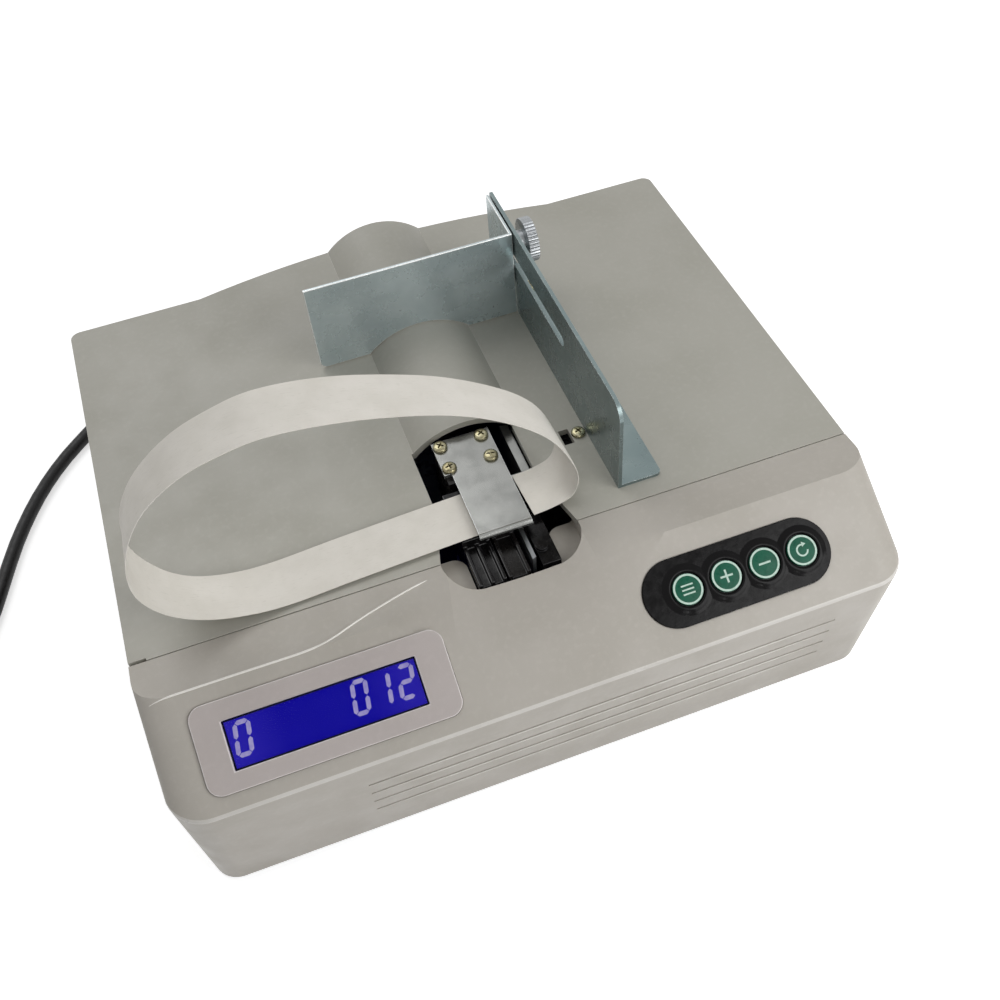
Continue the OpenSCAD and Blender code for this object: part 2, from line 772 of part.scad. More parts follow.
// The round back of the hump, from y0 to y1
module hump_bar(grow, y0, y1) {
  bar_y(hump_x, hump_cz, hump_r + grow, y0, y1);
}

module lid_arm() {
  // goose neck: down from the lid, back to the pin
  block([-arm_t / 2, hinge_y - arm_reach - 3, hinge_z - arm_r], [arm_t / 2, hinge_y - arm_reach + 3, lid_z + 0.5]);
  block([-arm_t / 2, hinge_y - arm_reach - 3, hinge_z - arm_r], [arm_t / 2, hinge_y, hinge_z + arm_r]);
  bar_x(hinge_y, hinge_z, arm_r, -arm_t / 2, arm_t / 2);
}

module top_lid() color([0.66, 0.65, 0.63]) difference() {
  union() {
    difference() {
      union() {
        translate([0, 0, lid_z]) linear_extrude(lid_t) lid_plan(0);
        intersection() {
          hump_bar(0, notch_back, body_d / 2);
          translate([0, 0, lid_z]) linear_extrude(hump_h + lid_t + 1) lid_plan(0);
        }
      }
      intersection() {
        hump_bar(-hump_t, notch_back - 1, body_d / 2);
        translate([0, 0, lid_z - 1]) linear_extrude(hump_h + lid_t + 1) lid_plan(lip_t);
      }
    }
    // lip under the rear edge
    difference() {
      translate([0, 0, lip_z]) linear_extrude(lid_z - lip_z + 0.5) lid_plan(0);
      translate([0, 0, lip_z - 1]) linear_extrude(big) lid_plan(lip_t);
      block([-big, -big, 0], [big, lip_y, big]);
    }
    for (s = [-1, 1])
      translate([s * arm_x, 0, 0]) lid_arm();
    // locating rib behind the seam, on both sides of the notch
    for (s = [-1, 1])
      translate([s * (side_x - wall - 50), 0, 0])
        block([-40, seam_y + ledge_w + 2, lid_z - 4], [40, seam_y + ledge_w + 4, lid_z + 0.5]);
  }
  translate([0, 0, hinge_z]) linear_extrude(big) notch_plan();
  // finger notch at the seam's left end
  block([-side_x - 1, seam_y, lid_z - 1], [-side_x + 6, seam_y + seam_gap + 0.9, big]);
  block([sensor_x - window_slot[0] / 2, sensor_y - window_slot[1] / 2, 0],
    [sensor_x + window_slot[0] / 2, sensor_y + window_slot[1] / 2, big]);
  bar_z(sensor_screw_x, sensor_y, screw_r + run, lid_z - 5, big);
  for (y = fence_screw_ys)
    bar_z(fence_screw_x, y, screw_r + run, lid_z - 5, big);
  for (s = [-1, 1])
    bar_x(hinge_y, hinge_z, hinge_pin_r + run, s * arm_x - arm_t, s * arm_x + arm_t);
}

module hinge_pins() color([0.7, 0.7, 0.72])
  for (s = [-1, 1])
    bar_x(hinge_y, hinge_z, hinge_pin_r, s > 0 ? arm_x - arm_t / 2 - 1.5 : -side_x + 1.5,
      s > 0 ? side_x - 1.5 : -arm_x + arm_t / 2 + 1.5);

// ---- note guides ---------------------------------------------------------------------------

fence_screw_x = fence_x + flange_w * 0.6;
fence_screw_ys = [fence_y + 45, fence_y + fence_l - 16];

module fence() color([0.62, 0.68, 0.7]) difference() {
  union() {
    translate([fence_x, 0, 0]) rotate([90, 0, 90]) linear_extrude(fence_t)
      difference() {
        translate([fence_y, deck_z]) square([fence_l, fence_h]);
        translate([fence_y, deck_z + fence_h]) mirror([0, 1]) corner_cut(7);
      }
    translate([0, 0, deck_z]) linear_extrude(fence_t)
      difference() {
        translate([fence_x, fence_y]) square([flange_w, fence_l]);
        translate([fence_x + flange_w, fence_y]) mirror([1, 0]) corner_cut(flange_r);
      }
  }
  block([fence_x - 1, slot_y0 + slot_w / 2, slot_z - slot_w / 2],
    [fence_x + fence_t + 1, slot_y1 - slot_w / 2, slot_z + slot_w / 2]);
  for (y = [slot_y0, slot_y1 - slot_w])
    bar_x(y + slot_w / 2, slot_z, slot_w / 2, fence_x - 1, fence_x + fence_t + 1);
  for (y = fence_screw_ys)
    bar_z(fence_screw_x, y, screw_r + run, deck_z - 1, deck_z + fence_t + 1);
}

// What a round corner of radius r takes away from a plate that lies to the right of and above the origin
module corner_cut(r) {
  difference() {
    square(r);
    translate([r, r]) circle(r);
  }
}

module fence_screws() color([0.8, 0.7, 0.45])
  for (y = fence_screw_ys)
    pan_screw(fence_screw_x, y, deck_z + fence_t, fence_t + lid_t + 3);

module note_sensor() color([0.06, 0.06, 0.07]) difference() {
  block([sensor_x - 5, sensor_y - 6, lid_z - 8.3], [sensor_screw_x + 4, sensor_y + 6, lid_z - seat]);
  bar_z(sensor_screw_x, sensor_y, screw_r + run, 0, big);
  translate([sensor_x, sensor_y, lid_z - 1]) cylinder(r = 1.6, h = 3);
}

module sensor_screw() color([0.8, 0.7, 0.45])
  pan_screw(sensor_screw_x, sensor_y, deck_z, lid_t + 6);

module stop_plate() color([0.6, 0.66, 0.69]) difference() {
  union() {
    slab_y(stop_y, stop_y + stop_t) difference() {
      translate([stop_x, deck_z + stop_gap])
        square([fence_x - stop_gap - stop_x, stop_h - stop_gap]);
      translate([stop_x, deck_z + stop_gap]) corner_cut(stop_corner);
      translate([hump_x, hump_cz]) circle(hump_r + stop_gap);
    }
    block([fence_x - stop_gap - stop_t, stop_y, deck_z + tab_low],
      [fence_x - stop_gap, stop_y + tab_l, deck_z + stop_h]);
  }
  bar_x(thumb_y, slot_z, stud_r + run, fence_x - 5, fence_x + 5);
}

module thumb_screw() color([0.75, 0.77, 0.78]) {
  head_x = fence_x + fence_t + thumb_gap;
  bar_x(thumb_y, slot_z, stud_r, fence_x - stop_gap - stop_t - 1.2, fence_x + fence_t + 1);
  bar_x(thumb_y, slot_z, thumb_r / 2, fence_x + fence_t + seat, head_x + eps);
  translate([head_x, thumb_y, slot_z]) rotate([90, 0, 90]) linear_extrude(thumb_t) difference() {
    circle(thumb_r);
    for (i = [0 : 35])
      rotate([0, 0, i * 10]) translate([thumb_r, 0]) rotate([0, 0, 45]) square(0.7, center = true);
  }
}

// ---- tongue and press head -----------------------------------------------------------------

module clamp_plate() color([0.66, 0.69, 0.7]) difference() {
  union() {
    block([tongue_x - tongue_w / 2, tongue_front, tongue_z],
      [tongue_x + tongue_w / 2, tongue_step + 3, tongue_z + tongue_t]);
    block([tongue_x - tongue_w / 2 - tongue_wide, tongue_step, tongue_z],
      [tongue_x + tongue_w / 2, tongue_back, tongue_z + tongue_t]);
    // nose, bent down in a quarter round
    intersection() {
      bar_x(tongue_front, tongue_z, tongue_t, tongue_x - tongue_w / 2, tongue_x + tongue_w / 2);
      block([-big, tongue_front - 5, tongue_z - 0.6], [big, tongue_front + eps, big]);
    }
  }
  for (s = [-1, 1])
    for (y = tongue_hole_ys)
      bar_z(tongue_hole_x + s * tongue_hole_dx, y, screw_r + run, 0, big);
}

module clamp_screws() color([0.8, 0.7, 0.45])
  for (s = [-1, 1])
    for (y = tongue_hole_ys)
      pan_screw(tongue_hole_x + s * tongue_hole_dx, y, tongue_z + tongue_t, tongue_t + 8);

module tongue_support() color([0.2, 0.2, 0.21]) difference() {
  block([tongue_x - tongue_w / 2 - tongue_wide + 0.5, rear_frame_y + frame_t, support_z],
    [tongue_x + tongue_w / 2 - 0.5, tongue_back - 0.6, tongue_z]);
  for (s = [-1, 1])
    for (y = tongue_hole_ys)
      bar_z(tongue_hole_x + s * tongue_hole_dx, y, screw_r + run, tongue_z - 9, big);
}

// Bores that both frame plates share
module shaft_bores(y0, y1) {
  bar_y(cam_x, cam_z, shaft_r + run, y0, y1);
  bar_y(feed_x, feed_z, shaft_r + run, y0, y1);
  bar_y(pivot_x, pivot_z, pivot_r + run, y0, y1);
}

module front_frame() color([0.55, 0.57, 0.58]) difference() {
  union() {
    block([frame_x0, front_frame_y, floor_z], [frame_x1, front_frame_y + frame_t, frame_top]);
    block([frame_x0, front_frame_y - 10, floor_z], [frame_x1, front_frame_y + eps, floor_z + frame_t]);
  }
  shaft_bores(front_frame_y - 1, gap_y0 + 1);
}

module rear_frame() color([0.55, 0.57, 0.58]) difference() {
  union() {
    block([frame_x0, rear_frame_y, floor_z], [frame_x1, rear_frame_y + frame_t, frame_top]);
    block([-13, rear_frame_y, frame_top - eps], [21, rear_frame_y + frame_t, ear_top]);
    block([strip_x, rear_frame_y, support_z], [strip_x + strip_w, rear_frame_y + 27, ear_top]);
    block([frame_x0, rear_frame_y + frame_t - eps, floor_z],
      [frame_x1, rear_frame_y + frame_t + 10, floor_z + frame_t]);
  }
  shaft_bores(rear_frame_y - 1, rear_frame_y + frame_t + 1);
}

module frame_spacers() color([0.7, 0.71, 0.72])
  for (x = [frame_x0 + 4, frame_x1 - 4])
    for (z = [floor_z + 6, frame_top - 6])
      bar_y(x, z, 3, gap_y0, gap_y1);

// Ribs along Y on the low front part of a block
module ribs(x0, x1) {
  count = max(2, floor((x1 - x0) / 3.4));
  for (i = [0 : count - 1])
    translate([lerp(x0, x1 - rib_w, i / (count - 1)), 0, 0])
      block([0, lip_y0, rib_z - 1], [rib_w, strap_y0 - 1, rib_z + rib_h]);
}

// Block under the strap: high under the strap, low and ribbed in front of it, with a lip over the
// front frame plate
module head_block(x0, x1) {
  block([x0, slide_y0, block_z], [x1, slide_y1, rib_z]);
  block([x0, lip_y0, lip_z0], [x1, slide_y0 + eps, rib_z]);
  block([x0, strap_y0 - 1, rib_z - eps], [x1, slide_y1, head_z]);
  ribs(x0, x1);
}

module press_block() color([0.07, 0.07, 0.08]) {
  head_block(press_x0, press_x1);
  block([foot_x0, press_foot_y, foot_z], [press_x1, press_foot_y + cam_w, block_z + eps]);
}

module heater_block() color([0.14, 0.11, 0.1]) {
  head_block(heater_x0, heater_x1);
  block([heater_x0, heater_foot_y, foot_z], [heater_x1, heater_foot_y + cam_w, block_z + eps]);
  block([foot_x0, heater_foot_y, foot_z], [heater_x0 + eps, heater_foot_y + cam_w, foot_z + foot_t]);
}

module cutter_blade() color([0.8, 0.81, 0.82]) {
  block([blade_x, slide_y0 + 1, foot_z - 5], [blade_x + blade_t, slide_y1 - 0.5, head_z - cutter_stroke - 1]);
  slab_y(slide_y0 + 1, slide_y1 - 0.5)
    polygon([[blade_x, head_z - cutter_stroke - 1 - eps], [blade_x + blade_t, head_z - cutter_stroke - 1 - eps],
      [blade_x + blade_t, head_z - cutter_stroke]]);
  block([foot_x0, cutter_foot_y, foot_z], [blade_x + eps, cutter_foot_y + 5, foot_z + foot_t]);
}

module strap_chute() color([0.2, 0.21, 0.21]) {
  block([chute_x, slide_y0, chute_z], [chute_x + chute_w, slide_y1, chute_top]);
  block([chute_x, lip_y0, frame_top + seat], [chute_x + chute_w, slide_y0 + eps, chute_top]);
  bar_z(chute_x + boss_dx, slide_y0 + boss_dy, 2.2, chute_top - eps, chute_top + boss_top);
}

// ---- feed ----------------------------------------------------------------------------------

module feed_roller() color([0.12, 0.12, 0.12]) difference() {
  bar_y(feed_x, feed_z, feed_r, strap_y0, strap_y1);
  bar_y(feed_x, feed_z, shaft_r + 0.03, strap_y0 - 1, strap_y1 + 1);
}

module feed_shaft() color([0.75, 0.76, 0.77]) {
  bar_y(feed_x, feed_z, shaft_r, front_frame_y - 2, rear_frame_y + frame_t + 10);
  bar_y(feed_x, feed_z, shaft_r + 2, slide_y0, slide_y0 + 2);
}

module feed_motor() color([0.2, 0.2, 0.22]) {
  y0 = rear_frame_y + frame_t;
  difference() {
    union() {
      block([feed_x - motor_half, y0, feed_z - motor_half],
        [feed_x + motor_half, y0 + 8, feed_z + motor_half]);
      bar_y(feed_x, feed_z, motor_half - 0.5, y0 + 7, y0 + motor_l - 7);
      block([feed_x - motor_half, y0 + motor_l - 8, feed_z - motor_half],
        [feed_x + motor_half, y0 + motor_l, feed_z + motor_half]);
    }
    bar_y(feed_x, feed_z, shaft_r + run, y0 - 1, y0 + 12);
  }
}

module pinch_lever() color([0.6, 0.62, 0.63]) {
  for (y = [strap_y0 - 2.5, strap_y1 + 0.5])
    difference() {
      union() {
        bar_y(pivot_x, pivot_z, 5, y, y + arm_w - 0.2);
        bar_y(pinch_x, feed_z, 3.6, y, y + arm_w - 0.2);
        slab_y(y, y + arm_w - 0.2)
          polygon([[pivot_x - 4.5, pivot_z], [pivot_x + 4.5, pivot_z], [pinch_x + 3, feed_z], [pinch_x - 3, feed_z]]);
      }
      bar_y(pinch_x, feed_z, 1.5 + run, y - 1, y + 4);
    }
  bar_y(pivot_x, pivot_z, pivot_r, front_frame_y - 1, rear_frame_y + frame_t + 1);
}

module pinch_roller() color([0.72, 0.73, 0.74]) {
  bar_y(pinch_x, feed_z, pinch_r, strap_y0, strap_y1);
  bar_y(pinch_x, feed_z, 1.5, strap_y0 - 3, strap_y1 + 2.4);
}

// ---- cams ----------------------------------------------------------------------------------

// Cam disc whose lobe points along angle a, measured from straight down
module cam_disc(a, y0) {
  nose = cam_r / 2;
  tip = cam_r + cam_lift - nose;
  bar_y(cam_x, cam_z, cam_r, y0, y0 + cam_w - 1);
  translate([cam_x, 0, cam_z]) rotate([0, a, 0]) {
    bar_y(0, -tip, nose, y0, y0 + cam_w - 1);
    slab_y(y0, y0 + cam_w - 1)
      polygon([[-cam_r * 0.86, -cam_r / 2], [cam_r * 0.86, -cam_r / 2],
        [nose * 0.86, -tip - nose / 2], [-nose * 0.86, -tip - nose / 2]]);
  }
}

module cam_shaft() color([0.7, 0.71, 0.72]) {
  bar_y(cam_x, cam_z, shaft_r, front_frame_y - 2, gear_y + gear_w + 1);
  cam_disc(0, press_foot_y + 0.5);
  cam_disc(20, heater_foot_y + 0.5);
  cam_disc(-20, cutter_foot_y);
}

// Spur gear outline with straight-sided teeth; first is the angle of one tooth
module gear_plan(teeth, first) {
  r = gear_m * teeth / 2;
  circle(r - 1.2 * gear_m);
  for (i = [0 : teeth - 1])
    rotate([0, 0, first + i * 360 / teeth])
      polygon([[r - 1.6 * gear_m, -1.02 * gear_m], [r, -0.68 * gear_m], [r + 0.85 * gear_m, -0.34 * gear_m],
        [r + 0.85 * gear_m, 0.34 * gear_m], [r, 0.68 * gear_m], [r - 1.6 * gear_m, 1.02 * gear_m]]);
}

module cam_gear() color([0.85, 0.84, 0.8]) difference() {
  slab_y(gear_y, gear_y + gear_w) translate([cam_x, cam_z]) gear_plan(gear_teeth, 0);
  bar_y(cam_x, cam_z, shaft_r + 0.03, gear_y - 1, gear_y + gear_w + 1);
}

module cam_pinion() color([0.75, 0.68, 0.4]) {
  slab_y(gear_y, gear_y + gear_w) translate([pinion_x, cam_z]) gear_plan(pinion_teeth, 180 / pinion_teeth);
  bar_y(pinion_x, cam_z, 2, gear_y, cam_motor_y + 8);
}

module cam_motor() color([0.62, 0.63, 0.64]) {
  difference() {
    bar_y(pinion_x, cam_z, cam_motor_r, cam_motor_y, cam_motor_y + cam_motor_l);
    bar_y(pinion_x, cam_z, 2 + run, cam_motor_y - 1, cam_motor_y + 9);
  }
  for (s = [-1, 1]) {
    bar_y(pinion_x, cam_z + s * post_dz, post_r, rear_frame_y + frame_t, cam_motor_y + 2);
    block([pinion_x - 4, cam_motor_y, min(cam_z + s * (cam_motor_r - 2), cam_z + s * (post_dz + post_r))],
      [pinion_x + 4, cam_motor_y + 2, max(cam_z + s * (cam_motor_r - 2), cam_z + s * (post_dz + post_r))]);
  }
}

// ---- paper ---------------------------------------------------------------------------------

module paper_roll() color([0.9, 0.89, 0.86]) difference() {
  bar_y(roll_x, roll_z, roll_r, strap_y0, strap_y1);
  bar_y(roll_x, roll_z, spindle_r + 0.08, strap_y0 - 1, strap_y1 + 1);
}

module roll_bracket() color([0.55, 0.57, 0.58]) {
  block([roll_x - 16, bracket_y, floor_z], [roll_x + 16, bracket_y + bracket_t, roll_z + 14]);
  block([roll_x - 16, bracket_y, floor_z], [roll_x + 16, bracket_y + 14, floor_z + bracket_t]);
  bar_y(roll_x, roll_z, spindle_r, strap_y0 - 1, bracket_y + eps);
  bar_y(roll_x, roll_z, spindle_r + 4, strap_y1 + 0.5, bracket_y + eps);
  bar_y(roll_x, roll_z, retainer_r, strap_y0 - 3, strap_y0 - 0.5);
}

module paper_strap() color([0.87, 0.86, 0.83])
  translate([loop_x, strap_y, deck_z]) rotate([0, 0, loop_yaw])
    slab_y(-strap_w / 2, strap_w / 2) polygon(band(spline(loop_path, loop_steps), strap_t));

// Inner run of the strap: from the roll, round the feed roller and up beside the cutter
run_r = feed_r + seat + strap_t / 2;
run_a = asin((roll_r + seat + strap_t / 2 - run_r) / norm([roll_x - feed_x, roll_z - feed_z]))
  - atan2(roll_z - feed_z, roll_x - feed_x);
run_arc = [for (k = [0 : 12]) let (a = lerp(180, 270 - run_a, k / 12)) [feed_x + run_r * cos(a), feed_z + run_r * sin(a)]];
run_path = concat([[strap_x, strap_z - 0.5]], run_arc,
  [[roll_x, roll_z] + (roll_r + seat + strap_t / 2) * [cos(270 - run_a), sin(270 - run_a)]]);

module strap_run() color([0.87, 0.86, 0.83])
  slab_y(strap_y0, strap_y1) polygon(band(run_path, strap_t));

// ---- electronics and power -----------------------------------------------------------------

module main_board() color([0.12, 0.4, 0.22])
  block([board_x, board_y, board_z], [board_x + board_w, board_y + board_l, board_z + pcb_t]);

module board_parts() color([0.15, 0.15, 0.16]) translate([board_x, board_y, board_z + pcb_t]) {
  // two capacitors, a relay, a chip, a heat sink and two connectors
  bar_z(14, 72, 8, 0, 22);
  bar_z(34, 74, 6, 0, 16);
  block([46, 56, 0], [62, 86, 14]);
  block([10, 30, 0], [34, 50, 4]);
  block([48, 16, 0], [54, 40, 26]);
  block([4, 4, 0], [38, 12, 9]);
  block([42, 2, 0], [62, 10, 9]);
}

module transformer() color([0.3, 0.3, 0.32]) translate([core_x, core_y, floor_z]) {
  foot = 8;
  block([0, 0, 0], [core_w, foot, core_h]);
  block([0, foot - eps, 4], [core_w, core_l - foot, core_h]);
  block([0, core_l - foot - eps, 0], [core_w, core_l, core_h]);
  block([foot, -coil_reach, 9], [core_w - foot, core_l + coil_reach, core_h - 5]);
}

rocker_y = rear_y - 4.5;
rocker_pin_r = 1.2;

module switch_frame() color([0.08, 0.08, 0.09]) difference() {
  union() {
    block([switch_x - 12.5, rear_y, switch_z - 8.5], [switch_x + 12.5, rear_y + 1.5, switch_z + 8.5]);
    block([switch_x - 10, rear_y - 16, switch_z - 6.5], [switch_x + 10, rear_y + eps, switch_z + 6.5]);
    for (x = [-6, 6])
      block([switch_x + x - 0.4, rear_y - 24, switch_z - 3], [switch_x + x + 0.4, rear_y - 15, switch_z + 3]);
  }
  difference() {
    block([switch_x - 9.2, rocker_y - 3.4, switch_z - 5.3], [switch_x + 9.2, rear_y + 5, switch_z + 5.3]);
    bar_z(switch_x, rocker_y, rocker_pin_r, 0, big);
  }
}

module switch_rocker() color([0.12, 0.12, 0.13])
  translate([switch_x, rocker_y, 0]) rotate([0, 0, -rocker_tilt])
    translate([0, 0, switch_z - 5]) linear_extrude(10)
      difference() {
        polygon([[-8.2, -1], [0, -2.7], [8.2, -1], [8.4, 5.6], [0, 4.8], [-8.4, 5.6]]);
        circle(rocker_pin_r + run);
      }

module cord_gland() color([0.05, 0.05, 0.05])
  translate([gland_x, rear_y, gland_z]) rotate([-90, 0, 0]) rotate_extrude()
    polygon([[0, -8], [7.5, -8], [7.5, -wall - 0.3], [5, -wall - 0.3], [5, 0.3], [7.5, 0.3], [7.5, 2],
      [5.6, 2.4], [cord_d / 2 + 0.8, relief_l + 2], [0, relief_l + 2]]);

module power_cord() color([0.04, 0.04, 0.04])
  tube(cord_points, cord_d / 2, 8, [0, 1, 0], [0, -1, 0]);

// The coil spirals in on the table, climbs a layer in the half turn where it reverses, and
// spirals out again above.
climb0 = coil_turns / 2 - 0.25;
climb1 = coil_turns / 2 + 0.25;
function coil_radius(t) = t < coil_turns / 2 ? coil_r - coil_pitch * t : coil_r - coil_pitch * (coil_turns - t);
function smooth(t) = t <= 0 ? 0 : t >= 1 ? 1 : t * t * (3 - 2 * t);
function coil_height(t) = coil_z + coil_pitch * smooth((t - climb0) / (climb1 - climb0));
function coil_at(t) = [coil_x + coil_radius(t) * cos(-360 * t), coil_y + coil_radius(t) * sin(-360 * t), coil_height(t)];
coil_rings = 24;
coil_tail = 28;
coil_body = [for (k = [0 : coil_turns * coil_rings]) coil_at(k / coil_rings)];
coil_last = coil_body[len(coil_body) - 1];
coil_end = coil_last - [coil_tail, 0, 0];
coil_path = concat([cord_points[len(cord_points) - 1] + [0, -0.01, 0]],
  [for (k = [1 : len(coil_body) - 1]) coil_body[k]], [coil_end]);
coil_free = min([for (i = [0 : len(coil_path) - 1], k = [i + 12 : 1 : len(coil_path) - 1])
  norm(coil_path[i] - coil_path[k])]) - cord_d;
echo(coil_least_gap = coil_free);

module cord_coil() color([0.04, 0.04, 0.04])
  tube(coil_path, cord_d / 2, 6, [0, -1, 0], [-1, 0, 0]);

// Tie round all the turns, on the coil's far side from the machine's front
tie_in = coil_r - coil_pitch * coil_turns / 2 - cord_d / 2 - 0.6;
tie_out = coil_r + cord_d / 2 + 0.5;
tie_top = coil_z + coil_pitch + cord_d / 2 + 0.4;
module cord_tie() color([0.1, 0.1, 0.1])
  translate([coil_x, coil_y, 0]) rotate([90, 0, 90]) translate([0, 0, -4]) linear_extrude(8)
    difference() {
      translate([tie_in - 0.8, 0]) square([tie_out - tie_in + 1.6, tie_top + 0.8]);
      translate([tie_in, 0.7]) square([tie_out - tie_in, tie_top - 0.7]);
    }

// Plug at the coil's end, pointing away from the coil
plug_l = 34;
module plug_body() color([0.05, 0.05, 0.05])
  translate(coil_end) rotate([0, -90, 0]) {
    rotate_extrude() polygon([[0, 0], [cord_d / 2 + 0.8, 0], [5.5, 16], [0, 16]]);
    half = coil_end[2] - 0.05;
    translate([0, 0, 16 - eps]) linear_extrude(plug_l - 16)
      round_rect([-half, -17], [half, 17], half - 1);
  }

module plug_pins() color([0.75, 0.75, 0.74])
  for (s = [-1, 1])
    translate(coil_end + [-plug_l, s * 9.5, 0]) rotate([0, -90, 0]) {
      cylinder(r = 2.4, h = 17);
      translate([0, 0, 17 - eps]) cylinder(r1 = 2.4, r2 = 1.4, h = 2);
    }

// ---- what is drawn -------------------------------------------------------------------------

housing();
bottom_plate();
rubber_feet();
housing_screws();
display_bezel();
display_glass();
display_module();
keypad_overlay();
keypad_board();
key_menu();
key_plus();
key_minus();
key_reset();
top_lid();
hinge_pins();
fence();
fence_screws();
note_sensor();
sensor_screw();
stop_plate();
thumb_screw();
clamp_plate();
clamp_screws();
tongue_support();
front_frame();
rear_frame();
frame_spacers();
press_block();
heater_block();
cutter_blade();
strap_chute();
feed_roller();
feed_shaft();
feed_motor();
pinch_lever();
pinch_roller();
cam_shaft();
cam_gear();
cam_pinion();
cam_motor();
paper_roll();
roll_bracket();
paper_strap();
strap_run();
main_board();
board_parts();
transformer();
switch_frame();
switch_rocker();
cord_gland();
power_cord();
cord_coil();
cord_tie();
plug_body();
plug_pins();
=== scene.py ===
"""Looks of the desktop banknote strapping machine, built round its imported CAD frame.

Everything is in metres, in the frame of the part: X to the right, Y to the back, Z up.
Sizes that come from the part's source are written in millimetres and scaled by MM.
"""

import json
import math
from contextlib import contextmanager

import bmesh
import bpy
from mathutils import Matrix, Vector
from mathutils.bvhtree import BVHTree


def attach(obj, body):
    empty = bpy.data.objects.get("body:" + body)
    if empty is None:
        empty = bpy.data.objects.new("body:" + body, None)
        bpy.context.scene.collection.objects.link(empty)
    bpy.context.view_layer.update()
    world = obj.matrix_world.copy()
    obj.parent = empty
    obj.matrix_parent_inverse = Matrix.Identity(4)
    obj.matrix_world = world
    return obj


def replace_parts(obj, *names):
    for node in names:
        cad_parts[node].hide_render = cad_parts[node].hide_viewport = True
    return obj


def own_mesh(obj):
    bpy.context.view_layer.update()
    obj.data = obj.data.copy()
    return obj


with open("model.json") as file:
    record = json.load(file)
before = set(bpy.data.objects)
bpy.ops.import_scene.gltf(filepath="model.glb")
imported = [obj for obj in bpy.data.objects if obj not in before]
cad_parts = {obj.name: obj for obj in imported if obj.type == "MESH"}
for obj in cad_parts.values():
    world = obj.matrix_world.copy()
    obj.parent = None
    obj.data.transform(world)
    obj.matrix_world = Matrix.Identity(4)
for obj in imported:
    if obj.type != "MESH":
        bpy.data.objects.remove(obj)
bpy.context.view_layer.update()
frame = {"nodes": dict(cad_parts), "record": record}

MM = 0.001
NODES = frame["nodes"]
SLOT_OF = {part["node"]: part["material_slot"] for part in frame["record"]["subparts"]}

# Sizes of the part's source, in millimetres
NOSE_Y, NOSE_Z = -118, 75
BROW_Y, BROW_Z = -82, 96
LID_Z = 94
GLAND_X, REAR_WALL_Y, GLAND_Z = -70, 105.5, 28
LCD_X = -75.7

# The sloped panel: X to the right, Y up the slope, Z out of it, from the middle of the brow
TILT = math.atan2(BROW_Z - NOSE_Z, BROW_Y - NOSE_Y)
PANEL = Matrix.Translation((0, BROW_Y, BROW_Z)) @ Matrix.Rotation(TILT, 4, "X")


# ---- camera ----------------------------------------------------------------------------------

CAMERA_PLACE = (-0.0656, -0.2985, 0.4134)
AZIMUTH, ELEVATION, ROLL = -0.270, 0.882, -0.098
LENS, SENSOR = 41.5, 36

back = Vector((math.sin(AZIMUTH) * math.cos(ELEVATION),
               -math.cos(AZIMUTH) * math.cos(ELEVATION), math.sin(ELEVATION)))
level = Vector((math.cos(AZIMUTH), math.sin(AZIMUTH), 0))
upright = level.cross(-back)
right = math.cos(ROLL) * level + math.sin(ROLL) * upright
up = -math.sin(ROLL) * level + math.cos(ROLL) * upright
camera = bpy.data.objects.new("camera", bpy.data.cameras.new("camera"))
camera.data.lens = LENS
camera.data.sensor_width = SENSOR
camera.data.clip_start = 0.01
axes = Matrix((right, up, back)).transposed()
camera.matrix_world = Matrix.Translation(CAMERA_PLACE) @ axes.to_4x4()
bpy.context.scene.collection.objects.link(camera)
bpy.context.scene.camera = camera


# ---- procedural finishes ---------------------------------------------------------------------

FINISHES = {}


def linear(rgb):
    """Linear colour of an 8-bit display colour."""
    return tuple(c / 12.92 if c <= 0.04045 else ((c + 0.055) / 1.055) ** 2.4
                 for c in (v / 255 for v in rgb)) + (1,)


